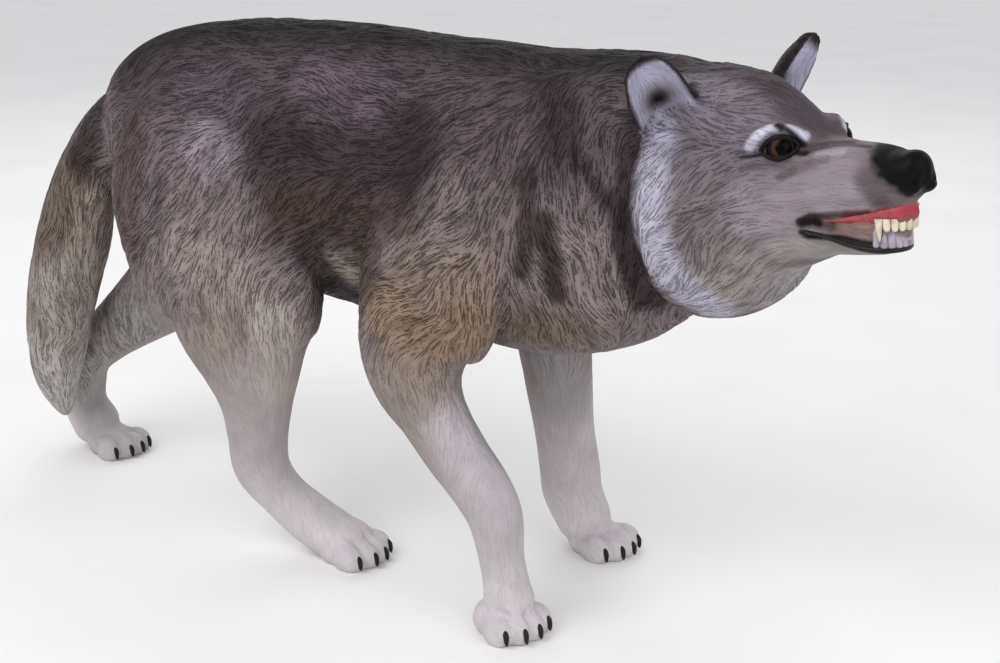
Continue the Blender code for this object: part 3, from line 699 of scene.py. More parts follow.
    def hollows(self) -> list[Fold]:
        """The nostrils, the bottoms of the ears and the room behind the teeth."""
        frame = self.frame()
        lines = []
        for side in (-1, 1):
            nostril = ((0.326, 0.014, 0.014), (0.32, 0.019, 0.008), (0.312, 0.021, 0.004))
            lines.append(Fold(placed(frame, nostril, side), 0.0036, -0.005))
            hole = ((-0.014, 0.09, 0.07), (-0.016, 0.093, 0.082))
            lines.append(Fold(placed(frame, hole, side), 0.008, -0.007))
        bite = -0.048
        arch = ((0.262, -0.026), (0.283, -0.014), (0.289, 0.0), (0.283, 0.014), (0.262, 0.026))
        lines.append(Fold(placed(frame, tuple((x, y, bite) for x, y in arch)), 0.01, -0.012))
        return lines


HEAD = Head()
TRUNK = Trunk()
PAW = Paw()


@dataclass
class Flow:
    """The lie of the hair: combed arrows blended through the space round the wolf."""

    low: Points
    cell: float = 0.014
    counts: tuple[int, int, int] = (120, 36, 62)
    grid: Points = field(default_factory=lambda: np.zeros(0))

    def lay(self, places: Points, ways: Points) -> None:
        """Blends the arrows over the grid and lets them wander a little.

        Args:
            places: Where each arrow is.
            ways: Its direction.
        """
        axes = [self.low[axis] + self.cell * np.arange(self.counts[axis]) for axis in range(3)]
        nodes = np.stack(np.meshgrid(*axes, indexing="ij"), axis=-1).reshape(-1, 3)
        blended = np.zeros_like(nodes)
        total = np.zeros(len(nodes))
        for place, way in zip(places, ways):
            weight = 1.0 / (((nodes - place) ** 2).sum(axis=1) + 0.0004) ** 2
            blended += weight[:, None] * way
            total += weight
        blended /= total[:, None]
        blended /= np.linalg.norm(blended, axis=1)[:, None] + 1e-9
        for axis in range(3):
            blended[:, axis] += 0.6 * value_noise(nodes / 0.046, 31 + axis)
            blended[:, axis] += 0.34 * value_noise(nodes / 0.024, 61 + axis)
        self.grid = blended.reshape(*self.counts, 3)

    def way(self, points: Points, normals: Points) -> Points:
        """The lie of the hair at the points, along the surface.

        Args:
            points: The places.
            normals: The surface's direction at each.

        Returns:
            One unit vector for each.
        """
        spot = (points - self.low) / self.cell
        spot = np.clip(spot, 0, np.array(self.counts) - 1.001)
        cell = spot.astype(int)
        part = spot - cell
        ways = np.zeros_like(points)
        for corner in range(8):
            offset = np.array([corner & 1, corner >> 1 & 1, corner >> 2 & 1])
            place = cell + offset
            weight = np.prod(np.where(offset == 1, part, 1 - part), axis=1)
            ways += weight[:, None] * self.grid[place[:, 0], place[:, 1], place[:, 2]]
        ways -= normals * (ways * normals).sum(axis=1)[:, None]
        return ways / (np.linalg.norm(ways, axis=1)[:, None] + 1e-9)

    def combed(self, points: Points, normals: Points, pitch: float, length: float, seed: int) -> Points:
        """Noise drawn out along the hair: long ridges and grooves.

        Args:
            points: The places.
            normals: The surface's direction at each.
            pitch: The distance between grooves.
            length: How long a lock is.
            seed: Chooses the pattern.

        Returns:
            One number for each place, spread about zero with a deviation of one.
        """
        steps = 4
        total = value_noise(points / pitch, seed)
        for sense in (-1, 1):
            spot = points.copy()
            for _ in range(steps):
                spot += self.way(spot, normals) * (sense * length / (2 * steps))
                total += value_noise(spot / pitch, seed)
        return total / total.std()


def hair_arrows() -> tuple[Points, Points]:
    """The arrows that comb the coat: on the body, both sides alike, and on the head in its own frame.

    Returns:
        The places of the arrows, and their directions.
    """
    body = (
        # the back and the rump
        ((-0.43, -0.03, 0.7), (-0.7, 0.0, -0.7)),
        ((-0.25, -0.03, 0.76), (-1.0, 0.0, 0.0)),
        ((0.0, -0.03, 0.77), (-1.0, 0.0, 0.0)),
        ((0.25, -0.03, 0.76), (-1.0, 0.0, 0.0)),
        ((0.45, -0.03, 0.76), (-1.0, 0.0, -0.1)),
        # the flank and the belly
        ((0.01, -0.12, 0.65), (-1.0, 0.0, 0.1)),
        ((0.1, -0.12, 0.58), (-1.0, 0.0, -0.2)),
        ((-0.04, -0.12, 0.51), (-0.8, 0.0, -0.5)),
        ((0.08, -0.11, 0.44), (-1.0, 0.0, -0.2)),
        ((0.05, -0.04, 0.37), (-1.0, 0.0, 0.0)),
        # the haunch and the thigh
        ((-0.28, -0.13, 0.64), (-0.8, 0.0, -0.5)),
        ((-0.17, -0.14, 0.6), (-0.7, 0.0, -0.6)),
        ((-0.23, -0.17, 0.49), (-0.7, 0.0, -0.8)),
        ((-0.13, -0.16, 0.47), (-0.3, 0.0, -1.0)),
        ((-0.12, -0.16, 0.37), (-0.2, 0.0, -1.0)),
        # the shoulder, the neck and the chest
        ((0.23, -0.13, 0.68), (-0.8, 0.0, -0.6)),
        ((0.24, -0.15, 0.58), (-0.5, 0.0, -0.9)),
        ((0.21, -0.18, 0.5), (-0.7, 0.0, -0.7)),
        ((0.17, -0.185, 0.44), (-0.9, 0.0, -0.4)),
        ((0.26, -0.16, 0.45), (-0.4, 0.0, -0.9)),
        ((0.33, -0.12, 0.66), (-0.3, 0.0, -1.0)),
        ((0.4, -0.11, 0.62), (0.1, 0.0, -1.0)),
        ((0.38, -0.12, 0.5), (0.3, 0.0, -1.0)),
        ((0.34, -0.11, 0.44), (0.3, 0.0, -0.9)),
        ((0.4, -0.02, 0.4), (0.3, -0.6, -0.8)),
        # the brush of the tail
        ((-0.5, -0.03, 0.6), (-0.7, 0.0, -0.7)),
        ((-0.57, -0.04, 0.48), (-0.4, 0.0, -1.0)),
        ((-0.6, -0.04, 0.36), (-0.2, 0.0, -1.0)),
        ((-0.62, -0.03, 0.2), (0.0, 0.0, -1.0)),
    )
    head = (
        ((0.32, 0.0, 0.02), (-1.0, 0.0, 0.2)),
        ((0.25, -0.02, 0.035), (-1.0, 0.0, 0.0)),
        ((0.22, -0.038, 0.0), (-1.0, -0.1, -0.1)),
        ((0.15, -0.035, 0.055), (-0.9, -0.2, 0.4)),
        ((0.09, -0.04, 0.08), (-1.0, -0.3, 0.2)),
        ((0.03, -0.04, 0.1), (-1.0, -0.5, 0.0)),
        ((0.04, -0.09, 0.05), (-1.0, -0.1, 0.0)),
        ((0.1, -0.07, 0.01), (-1.0, -0.3, -0.1)),
        ((0.12, -0.065, -0.03), (-1.0, -0.3, -0.4)),
        ((0.06, -0.095, -0.02), (-0.8, -0.2, -0.5)),
        ((0.08, -0.08, -0.07), (-0.8, -0.2, -0.6)),
        ((0.1, -0.05, -0.11), (-0.8, 0.0, -0.6)),
        ((0.02, -0.11, 0.01), (-0.5, -0.1, -0.9)),
        ((0.01, -0.115, -0.05), (-0.6, 0.0, -0.8)),
        ((0.03, -0.095, -0.11), (-0.8, 0.0, -0.6)),
        ((0.02, -0.05, -0.16), (-0.9, 0.0, -0.3)),
        ((-0.04, -0.12, -0.06), (-0.4, 0.0, -0.9)),
        ((-0.02, -0.13, 0.1), (-0.1, -0.4, 0.9)),
        ((0.02, -0.1, 0.1), (0.1, -0.4, 0.9)),
        ((0.2, -0.03, -0.075), (-1.0, -0.1, 0.0)),
    )
    places, ways = [], []
    frame = HEAD.frame()
    turn = frame.to_3x3()
    for side in (1, -1):
        for place, way in body:
            places.append((place[0], side * place[1], place[2]))
            ways.append((way[0], side * way[1], way[2]))
        for place, way in head:
            places.append(frame @ Vector((place[0], side * place[1], place[2])))
            ways.append(turn @ Vector((way[0], side * way[1], way[2])))
    for leg in LEGS:
        for ahead, left, up, _, _ in leg.sections:
            if up < 0.33:
                places.append((leg.place[0] + ahead, leg.place[1] + left, up))
                ways.append((0.15, 0.0, -1.0))
        places.append((leg.place[0] + 0.03, leg.place[1], 0.035))
        ways.append((0.9, 0.0, -0.4))
    ways = np.array(ways, float)
    return np.array(places, float), ways / np.linalg.norm(ways, axis=1)[:, None]


@dataclass
class Skin:
    """The fused skin as arrays: its points, faces and what is painted or carved on it."""

    points: Points
    normals: Points
    faces: Points
    tree: BVHTree
    tied: Points = field(default_factory=lambda: np.zeros((0, 3), int))

    @staticmethod
    def arrays(data: bpy.types.Mesh) -> tuple[Points, Points]:
        """The points and the four-cornered faces of mesh data."""
        corners = np.empty(len(data.loops), int)
        data.loops.foreach_get("vertex_index", corners)
        return places_of(data), corners.reshape(-1, 4)

    def renew(self) -> None:
        """Works out the normals again after the points moved."""
        one, two, three, four = (self.points[self.faces[:, index]] for index in range(4))
        flat = np.cross(three - one, four - two)
        total = np.zeros_like(self.points)
        for axis in range(3):
            for index in range(4):
                total[:, axis] += np.bincount(self.faces[:, index], flat[:, axis], len(self.points))
        self.normals = total / (np.linalg.norm(total, axis=1)[:, None] + 1e-12)
        middle, one, other = self.tied.T
        self.points[middle] = (self.points[one] + self.points[other]) / 2
        between = self.normals[one] + self.normals[other]
        self.normals[middle] = between / (np.linalg.norm(between, axis=1)[:, None] + 1e-12)

    def split(self, chosen: Points) -> None:
        """Splits faces in four; a new point on the border with the rest stays tied to the edge's ends.

        Args:
            chosen: For each face, whether it is split.
        """
        faces, count = self.faces[chosen], len(self.points)
        pairs = np.sort(np.stack([faces, np.roll(faces, -1, axis=1)], axis=-1).reshape(-1, 2), axis=1)
        _, first, place, uses = np.unique(
            pairs[:, 0] * count + pairs[:, 1], return_index=True, return_inverse=True, return_counts=True)
        ends = pairs[first]
        edge = count + place.reshape(-1, 4)
        centre = count + len(ends) + np.arange(len(faces))
        quarters = [np.stack([faces[:, k], edge[:, k], centre, edge[:, k - 1]], axis=1) for k in range(4)]
        middles = (self.points[ends[:, 0]] + self.points[ends[:, 1]]) / 2
        self.points = np.vstack([self.points, middles, self.points[faces].mean(axis=1)])
        self.faces = np.vstack([self.faces[~chosen], *quarters])
        border = np.nonzero(uses == 1)[0]
        self.tied = np.column_stack([count + border, ends[border]])
        self.renew()

    def in_frame(self, frame: Matrix) -> tuple[Points, Points]:
        """The points and the normals as a frame sees them."""
        back = np.array(frame.inverted())
        return self.points @ back[:3, :3].T + back[:3, 3], self.normals @ back[:3, :3].T

    def snapped(self, line: tuple, spacing: float) -> Points:
        """A smooth run through the points of a line, laid on the skin.

        Args:
            line: Points of the line.
            spacing: About how far apart the run's points are.

        Returns:
            The run, a row for each point.
        """
        rows = np.array([tuple(point) for point in line], float)
        longest = np.linalg.norm(np.diff(rows, axis=0), axis=1).max()
        steps = int(np.clip(math.ceil(longest / spacing), 3, 30))
        return np.array([self.tree.find_nearest(point)[0] for point in smooth_run(rows, steps)])

    def along(self, line: tuple, reach: float) -> tuple[Points, Points, Points]:
        """What lies near a line laid on the skin.

        Args:
            line: Points of the line.
            reach: How far from it counts as near.

        Returns:
            The places of the near points in the skin, how far each is, and its share of the way along.
        """
        run = self.snapped(line, reach / 6)
        above = self.points > run.min(axis=0) - reach
        below = self.points < run.max(axis=0) + reach
        near = np.nonzero(np.all(above & below, axis=1))[0]
        best = np.full(len(near), np.inf)
        share = np.zeros(len(near))
        for index, place in enumerate(run):
            far = np.linalg.norm(self.points[near] - place, axis=1)
            closer = far < best
            best[closer] = far[closer]
            share[closer] = index / (len(run) - 1)
        return near, best, share

    def fold(self, folds: list[Fold]) -> None:
        """Works furrows and ridges into the skin, each fading out at its ends.

        Args:
            folds: The furrows and ridges.
        """
        rise = np.zeros(len(self.points))
        for fold in folds:
            near, far, share = self.along(fold.line, 3 * fold.width)
            fade = np.sqrt(np.sin(math.pi * (0.04 + 0.92 * share)))
            rise[near] += fold.rise * fade * bell(far, fold.width)
        self.points += self.normals * rise[:, None]
        self.renew()


@dataclass(frozen=True)
class Sculptor:
    """Fuses the clay into one skin and eases the joints of its forms."""

    cell: float = 0.003
    quick_cell: float = 0.005
    usual_cell: float = 0.0042
    all_over: int = 9
    creases: int = 45
    share: float = 0.25
    blend: float = 0.055
    face_from: float = 0.085
    face_reach: float = 0.17

    def zones(self) -> list[tuple[Vector, float]]:
        """Where limbs and head meet the body: points round which the skin is eased."""
        near, far, rear, back = (leg.place for leg in LEGS)
        frame = HEAD.frame()
        root = Vector(TRUNK.tail_root)
        zones = [
            (Vector((near[0] - 0.14, near[1] + 0.02, 0.42)), 0.12),
            (Vector((near[0] - 0.12, near[1] + 0.05, 0.56)), 0.13),
            (Vector((far[0] - 0.07, far[1] - 0.03, 0.4)), 0.11),
            (Vector((far[0] - 0.08, far[1] - 0.05, 0.56)), 0.13),
            (Vector((rear[0] - 0.13, rear[1] - 0.03, 0.42)), 0.15),
            (Vector((rear[0] - 0.24, rear[1] - 0.02, 0.58)), 0.15),
            (Vector((back[0] + 0.26, back[1], 0.43)), 0.15),
            (Vector((back[0] + 0.32, back[1] - 0.02, 0.58)), 0.15),
            (root + Vector((-0.03, 0.0, 0.01)), 0.13),
            (frame @ Vector((-0.06, 0.0, 0.09)), 0.06),
            (frame @ Vector((0.13, 0.0, -0.11)), 0.06),
        ]
        for side in (-1, 1):
            zones.append((frame @ Vector((0.17, side * 0.04, -0.005)), 0.045))
        return zones

    def fused(self, data: bpy.types.Mesh, cell: float) -> bpy.types.Mesh:
        """One skin round the forms, in even four-cornered faces.

        Args:
            data: The forms.
            cell: The size of a face.

        Returns:
            New mesh data.
        """
        helper = bpy.data.objects.new("helper", data)
        bpy.context.scene.collection.objects.link(helper)
        modifier = helper.modifiers.new("skin", "REMESH")
        modifier.mode = "VOXEL"
        modifier.voxel_size = cell
        bpy.context.view_layer.update()
        graph = bpy.context.evaluated_depsgraph_get()
        result = bpy.data.meshes.new_from_object(helper.evaluated_get(graph))
        bpy.data.objects.remove(helper)
        return result

    def eased(self, points: Points, faces: Points, cell: float) -> Points:
        """The points smoothed all over, and far more in the blend zones.

        Args:
            points: The points of the skin.
            faces: Its faces.
            cell: Their size. The smaller, the more rounds it takes.

        Returns:
            The new places of the points.
        """
        more = (self.usual_cell / cell) ** 2
        all_over, creases = round(self.all_over * more), round(self.creases * more)
        pairs = np.vstack([faces[:, [0, 1]], faces[:, [1, 2]], faces[:, [2, 3]], faces[:, [3, 0]]])
        pairs = np.unique(np.sort(pairs, axis=1), axis=0)
        count = len(points)
        one = np.concatenate([pairs[:, 0], pairs[:, 1]])
        other = np.concatenate([pairs[:, 1], pairs[:, 0]])
        ties = np.bincount(one, minlength=count)[:, None]
        weight = np.zeros(count)
        for middle, reach in self.zones():
            far = np.linalg.norm(points - np.array(middle), axis=1)
            weight = np.maximum(weight, np.clip((reach - far) / self.blend, 0.0, 1.0))
        for step in range(all_over + creases):
            total = np.stack([np.bincount(one, points[other, axis], count) for axis in range(3)], axis=1)
            move = self.share * (total / ties - points)
            points = points + (move if step < all_over else move * weight[:, None])
        return points

    def skin(self) -> Skin:
        """The whole wolf's skin, before its hair is carved."""
        clay = Clay()
        TRUNK.add(clay)
        for leg in LEGS:
            leg.add(clay)
            PAW.add(clay, leg.frame())
        HEAD.add(clay)
        cell = self.cell
        points, faces = Skin.arrays(self.fused(turned_out(clay.mesh, "forms"), cell))
        points = self.eased(points, faces, cell)
        skin = Skin(points, points, faces, BVHTree.FromPolygons(points.tolist(), faces.tolist()))
        skin.renew()
        spots, _ = skin.in_frame(HEAD.frame())
        middles = spots[skin.faces].mean(axis=1)
        on_face = (middles[:, 0] > self.face_from) & (np.abs(middles[:, 1:]) < self.face_reach).all(axis=1)
        skin.split(on_face)
        LOG.info("skin: %d points, %d faces on the face", len(skin.points), 4 * on_face.sum())
        return skin


@dataclass(frozen=True)
class Spray:
    """One pass of the airbrush, in millimetres: a soft line of colour, alike on both sides."""

    colour: str
    line: tuple
    reach: float
    strength: float


@dataclass(frozen=True)
class Fade:
    """A colour that comes in from one height down to another, in millimetres."""

    colour: str
    full_at: float
    none_at: float
    strength: float


# The airbrush passes in their order, in millimetres. First what comes in down the legs.
LEG_FADES = (
    Fade("8d837e", 300, 430, 0.85),
    Fade("b3acae", 140, 300, 0.92),
    Fade("c8c1c4", 30, 150, 0.88),
)

# Then the body's. Each line of colour is laid on both sides.
BODY_SPRAYS = (
    # down the legs
    Spray("9a9192", ((-126, -140, 260), (-130, -135, 190)), 50, 0.6),
    Spray("b3abb0", ((235, -178, 290), (270, -170, 240), (300, -165, 200)), 32, 0.85),
    # painted shade: greyer, darker passes on the inner sides of the left legs and on the left hind paw, the
    # side away from the light (mirrored like every pass)
    Spray("938f93", ((240, 80, 300), (262, 96, 245)), 32, 0.7),
    Spray("86847f", ((-510, 45, 280), (-580, 56, 190), (-640, 70, 110)), 50, 0.7),
    Spray("a09a98", ((-600, 75, 50), (-560, 80, 30)), 50, 0.6),
    # the dark saddle, the lighter purple on its top as a painted highlight (a painted sheen), and the flank
    Spray("483e43", (
        (-340, -100, 680), (-100, -95, 680), (50, -100, 670), (200, -100, 670), (340, -100, 670),
    ), 80, 0.92),
    Spray("342b2e", ((-80, -112, 600), (50, -119, 600), (160, -130, 610)), 56, 0.88),
    Spray("3b302a", ((-55, -122, 520), (50, -126, 520), (100, -130, 500)), 44, 0.88),
    # painted highlight: lighter purple patches along the top of the back and the croup, a painted sheen
    Spray("61535c", ((-20, -90, 700), (50, -90, 690)), 40, 0.65),
    Spray("5a4e5a", ((-220, -100, 675), (-180, -110, 660)), 30, 0.6),
    Spray("2d2425", ((140, -110, 660), (165, -140, 620), (155, -150, 580)), 28, 0.75),
    # painted shade: the underside of the belly darkened, down its middle and along its sides
    Spray("352c29", ((-60, -50, 415), (20, -60, 395), (120, -70, 385), (200, -70, 390)), 45, 0.88),
    Spray("352c29", ((-60, 0, 405), (50, 0, 385), (200, 0, 380)), 45, 0.85),
    Spray("7a756a", ((-10, -105, 455), (30, -103, 447)), 18, 0.75),
    # the shoulder, the warm elbow and the chest
    Spray("54494a", ((220, -120, 640), (280, -125, 640), (290, -130, 610)), 34, 0.8),
    Spray("6a5f5f", ((235, -160, 565), (280, -140, 545)), 44, 0.88),
    Spray("463b36", ((120, -150, 555), (155, -166, 545)), 26, 0.8),
    Spray("493e35", ((90, -120, 470), (112, -173, 461), (100, -120, 430)), 20, 0.8),
    Spray("776960", ((190, -180, 475), (250, -165, 480)), 42, 0.88),
    Spray("7d6a58", ((150, -185, 420), (200, -185, 400), (250, -160, 420)), 38, 0.88),
    Spray("7f7268", ((167, -189, 355), (200, -180, 330)), 30, 0.6),
    Spray("685c50", ((290, -100, 400), (380, -90, 430)), 35, 0.8),
    # the haunch and the thigh
    Spray("605557", ((-280, -140, 600), (-250, -160, 520)), 44, 0.85),
    Spray("6f6462", ((-200, -165, 510), (-130, -155, 510)), 36, 0.85),
    # painted highlight: a lighter patch on the top of the haunch
    Spray("82767e", ((-190, -135, 610), (-170, -135, 590)), 30, 0.85),
    Spray("857a76", ((-200, -170, 450), (-120, -165, 420), (-75, -150, 380)), 44, 0.85),
    Spray("a59c97", ((-70, -150, 375), (-78, -130, 300), (-80, -125, 260)), 28, 0.7),
    Spray("463d41", ((-400, -70, 700), (-340, -110, 675), (-290, -117, 665)), 34, 0.8),
    Spray("4c3e3a", ((-330, -140, 600), (-330, -150, 540), (-320, -150, 470)), 36, 0.8),
    Spray("857a70", ((-160, -165, 370), (-170, -160, 330)), 30, 0.6),
    Spray("2f2627", ((-35, -110, 470), (-10, -90, 425), (0, -60, 395)), 22, 0.8),
    # the blackest line along the back
    Spray("151216", ((-400, 0, 730), (-250, 0, 785), (0, 0, 790), (200, 0, 775), (500, 0, 775)), 64, 0.95),
    Spray("1f1a1d", ((310, -70, 720), (345, -95, 690), (350, -112, 650)), 22, 0.6),
    # the folds of the neck: three dark bands with lighter ridges between
    Spray("7d7170", ((387, -119, 530), (405, -115, 500), (400, -100, 450)), 30, 0.85),
    Spray("675c5d", ((385, -117, 600), (398, -117, 575)), 18, 0.75),
    Spray("352b2b", ((322, -130, 615), (322, -135, 570), (320, -130, 530), (313, -130, 495)), 12, 0.85),
    Spray("2b211f", ((343, -130, 560), (350, -130, 520), (356, -120, 465)), 13, 0.88),
    Spray("352b2b", (
        (372, -110, 645), (400, -115, 610), (428, -108, 570), (440, -100, 510), (447, -80, 455),
    ), 10, 0.85),
    # the brush: dark behind, lighter within and at its tip
    Spray("65584f", ((-530, -50, 505), (-580, -55, 405)), 45, 0.9),
    Spray("8e8077", ((-509, -30, 470), (-545, -30, 370)), 22, 0.8),
    Spray("8e857f", ((-560, -30, 340), (-610, -50, 286), (-600, -35, 215)), 45, 0.9),
    Spray("a09a96", ((-610, -30, 170), (-625, -20, 120)), 40, 0.85),
    Spray("2b2322", ((-460, -40, 630), (-485, -53, 580), (-510, -50, 540)), 28, 0.85),
    Spray("3a3034", ((-460, 0, 660), (-560, 0, 600), (-625, 0, 500), (-660, 0, 420)), 32, 0.85),
)

# Last the head's, in its own frame.
HEAD_SPRAYS = (
    # the dark parting behind the ruff, the head's grey and the pale ruff
    Spray("2a2224", (
        (-58, -90, 60), (-56, -110, 0), (-58, -113, -60), (-60, -100, -115), (-66, -75, -160),
    ), 20, 0.88),
    Spray("655c63", ((10, -70, 70), (50, -85, 30), (100, -60, 30)), 50, 0.95),
    Spray("6b6265", ((70, -90, -40), (90, -78, -65)), 36, 0.88),
    Spray("8b827e", ((80, -60, -110), (55, -70, -138)), 34, 0.88),
    Spray("938d90", ((70, 0, -155), (110, 0, -130)), 30, 0.8),
    Spray("858290", ((-5, -92, 45), (-8, -104, 20)), 22, 0.88),
    Spray("a3a1b2", ((-10, -95, 62), (-6, -95, 50)), 13, 0.85),
    Spray("a8a5b4", (
        (-10, -112, -10), (-10, -120, -44), (-4, -118, -88),
        (6, -105, -120), (18, -88, -145), (20, -50, -172),
    ), 26, 0.9),
    # the forehead, the crown, the snout and the jaw
    Spray("70666f", ((0, -60, 94), (20, -55, 88), (70, -55, 72), (100, -45, 62)), 34, 0.8),
    Spray("3f373c", ((-80, 0, 120), (20, 0, 125), (70, 0, 110), (120, 0, 85), (160, 0, 55)), 26, 0.85),
    Spray("8b8087", ((120, -65, -40), (170, -45, -30), (220, -35, 5)), 34, 0.92),
    Spray("9a9198", ((190, -40, -22), (245, -34, -18)), 16, 0.8),
    # painted highlight: a thin pale line along the ridge between the snarl's wrinkles
    Spray("a79fa6", ((185, -30, 25), (215, -24, 30)), 4.5, 0.55),
    Spray("5b5256", ((262, -34, 6), (272, -34, -10)), 16, 0.8),
    Spray("6f666b", ((235, 0, 45), (260, 0, 42)), 14, 0.8),
    Spray("8b8784", ((180, -30, -93), (230, -30, -82), (250, -20, -82)), 17, 0.88),
    Spray("948b88", ((135, -45, -85), (160, -39, -81)), 15, 0.75),
    # painted shade: dark lines laid along the snarl's two wrinkles, fading to lighter at their ends
    Spray("3c3335", ((163, -36, 28), (186, -21, 35), (214, -12, 39), (245, -12, 38)), 3, 0.92),
    Spray("463c3f", ((168, -30, 34), (190, -16, 41), (215, -6, 43)), 2.2, 0.8),
    Spray("5a5054", ((146, -52, 0), (159, -44, 9)), 4.2, 0.8),
    Spray("62585c", ((163, -42, 11), (183, -33, 17), (198, -29, 21)), 3.6, 0.62),
    Spray("6c6266", ((198, -29, 21), (218, -26, 26)), 2.2, 0.5),
    # white brows, the black line between them and the black rims of the eye
    Spray("bcbac8", ((107, -61, 33), (122, -56, 48), (136, -48, 57)), 5, 0.96),
    Spray("bcbac8", ((149, -41, 54), (163, -30, 45)), 5.2, 0.96),
    Spray("171214", ((137, -47, 63), (145, -44, 54), (154, -38, 46), (163, -32, 35)), 4.2, 0.97),
    Spray("151113", ((98, -66, 22), (110, -61, 23), (121, -56, 25)), 2.4, 0.95),
    Spray("1a1416", ((158, -39, 28), (168, -33, 27)), 3.6, 0.95),
    # inside of the mouth, its dark corner, and the black edges of the lips
    Spray("8d7470", ((205, -30, -50), (250, -28, -48), (280, -10, -48)), 11, 0.95),
    Spray("93434a", ((225, -30, -38), (260, -28, -34), (290, -6, -34)), 6, 0.9),
    Spray("a8404a", ((272, -26, -28), (284, -14, -28), (287, 0, -28)), 3.8, 0.95),
    # painted shade: the skin round the lower teeth in the lilac of the shaded teeth
    Spray("a89fac", ((268, -20, -57), (277, -10, -57), (279, 0, -57)), 5, 0.95),
    Spray("4a4042", ((180, -34, -46), (200, -31, -50)), 7, 0.8),
    Spray("140e0f", ((164, -39, -50), (181, -34, -50)), 5.8, 0.97),
    Spray("241b1d", ((160, -38, -47), (200, -34, -38), (255, -32, -30)), 3.4, 0.8),
    Spray("0f0c0d", (
        (165, -42, -62), (209, -36, -58), (255, -28, -62), (272, -10, -62), (274, 0, -62),
    ), 3.4, 0.95),
)


@dataclass(frozen=True)
class Coat:
    """The carved hair and the airbrushed colours of the wolf."""

    lock_pitch: float = 0.01
    lock_length: float = 0.05
    lock_depth: float = 0.0014
    lock_edge: tuple[float, float] = (-1.6, 0.3)
    lock_seed: int = 7
    strand_pitch: float = 0.0058
    strand_length: float = 0.026
    strand_depth: float = 0.0011
    strand_edge: tuple[float, float] = (-1.3, 0.2)
    strand_seed: int = 19
    spray_full: float = 0.45
    spray_none: float = 1.75
    spray_end: float = 2.2
    base: str = "6c6162"
    nose: str = "0d0c0e"
    ear_foot: tuple[float, float] = (-0.002, 0.008)
    ear_edge: tuple[float, float] = (1.02, 1.14)
    rim_across: tuple[float, float] = (0.74, 0.92)
    rim_above: tuple[float, float] = (0.76, 0.94)
    smooth_leg: float = 0.14
    smooth_until: float = 0.22
    carved_from: float = 0.46

    def painted(self, skin: Skin) -> Points:
        """The colour of each point of the skin.

        Args:
            skin: The skin.

        Returns:
            Red, green and blue in linear light, a row for each point.
        """
        colour = np.tile(from_hex(self.base), (len(skin.points), 1))
        for fade in LEG_FADES:
            amount = fade.strength * (1 - ramp(skin.points[:, 2], fade.full_at * MM, fade.none_at * MM))
            colour += amount[:, None] * (np.array(from_hex(fade.colour)) - colour)
        for frame, sprays in ((Matrix(), BODY_SPRAYS), (HEAD.frame(), HEAD_SPRAYS)):
            for spray in sprays:
                reach = spray.reach * MM
                on_middle = all(y == 0 for _, y, _ in spray.line)
                for side in (1,) if on_middle else (1, -1):
                    line = placed(frame @ Matrix.Scale(MM, 4), spray.line, side)
                    near, far, _ = skin.along(line, self.spray_end * reach)
                    soft = ramp(far, self.spray_full * reach, self.spray_none * reach)
                    amount = spray.strength * (1 - soft)
                    colour[near] += amount[:, None] * (np.array(from_hex(spray.colour)) - colour[near])
        return colour

    def black_nose(self, skin: Skin) -> Points:
        """How black and glossy each point is: the nose and the saddle behind it.

        Args:
            skin: The skin.

        Returns:
            A share for each point.
        """
        spots, _ = skin.in_frame(HEAD.frame())
        edge = 0.292 - 1.05 * (spots[:, 2] + 0.008)
        edge += 0.004 * value_noise(spots / 0.006, 5)
        black = ramp(spots[:, 0] - edge, -0.006, 0.012)
        return black * (spots[:, 2] > -0.026) * (spots[:, 0] > 0.2)

    def ears(self, skin: Skin, colour: Points) -> Points:
        """Paints the ears: black outside and on the rim, pale within, dark in the depth.

        Args:
            skin: The skin.
            colour: The colours so far, changed in place.

        Returns:
            How far each point is the inside of an ear.
        """
        spots, ways = skin.in_frame(HEAD.frame())
        inner = np.zeros(len(spots))
        for side in (-1, 1):
            root, along, opening, across = (np.array(way) for way in HEAD.ear_axes(side))
            away = spots - root
            high, out, wide = away @ along, away @ opening, away @ across
            beside = np.abs(wide) / HEAD.ear_half_at(high / HEAD.ear_height)
            near = ramp(high, *self.ear_foot) * (1 - ramp(beside, *self.ear_edge))
            near = near * (np.abs(out) < 0.034) * (high < 0.12)
            inside = ramp(ways @ opening, -0.1, 0.25) * near
            rim = ramp(beside, *self.rim_across) + ramp(high / HEAD.ear_height, *self.rim_above)
            rim = np.clip(rim, 0, 1) * near
            pale = inside * (1 - rim)
            for amount, code in (
                (0.9 * near * (1 - inside), "3d3438"),
                (0.95 * pale, "b3b1c6"),
                (0.92 * rim, "1b1619"),
                (0.9 * pale * bell(np.hypot(high - 0.02, wide * 0.9), 0.019), "5b4a40"),
                (0.98 * pale * bell(np.hypot(high - 0.016, wide), 0.0165), "0d0909"),
            ):
                colour += amount[:, None] * (np.array(from_hex(code)) - colour)
            inner = np.maximum(inner, pale)
        return inner

    def strength(self, skin: Skin, black: Points, inner: Points) -> Points:
        """How deep the hair is carved.

        Args:
            skin: The skin.
            black: How far each point is the nose.
            inner: How far it is the inside of an ear.

        Returns:
            A share for each point.
        """
        spots, _ = skin.in_frame(HEAD.frame())
        risen = ramp(skin.points[:, 2], self.smooth_until, self.carved_from)
        deep = self.smooth_leg + (1 - self.smooth_leg) * risen
        tail = ramp(-skin.points[:, 0], 0.44, 0.5) * (skin.points[:, 1] < 0.065)
        deep = np.maximum(deep, 0.85 * tail * ramp(skin.points[:, 2], 0.06, 0.14))
        on_head = ramp(spots[:, 0], -0.05, 0.0) * (np.abs(spots[:, 1]) < 0.2)
        face = 0.75 - 0.55 * ramp(spots[:, 0], 0.06, 0.17)
        deep = deep * (1 - on_head) + face * on_head
        return deep * (1 - black) * (1 - 0.6 * inner)


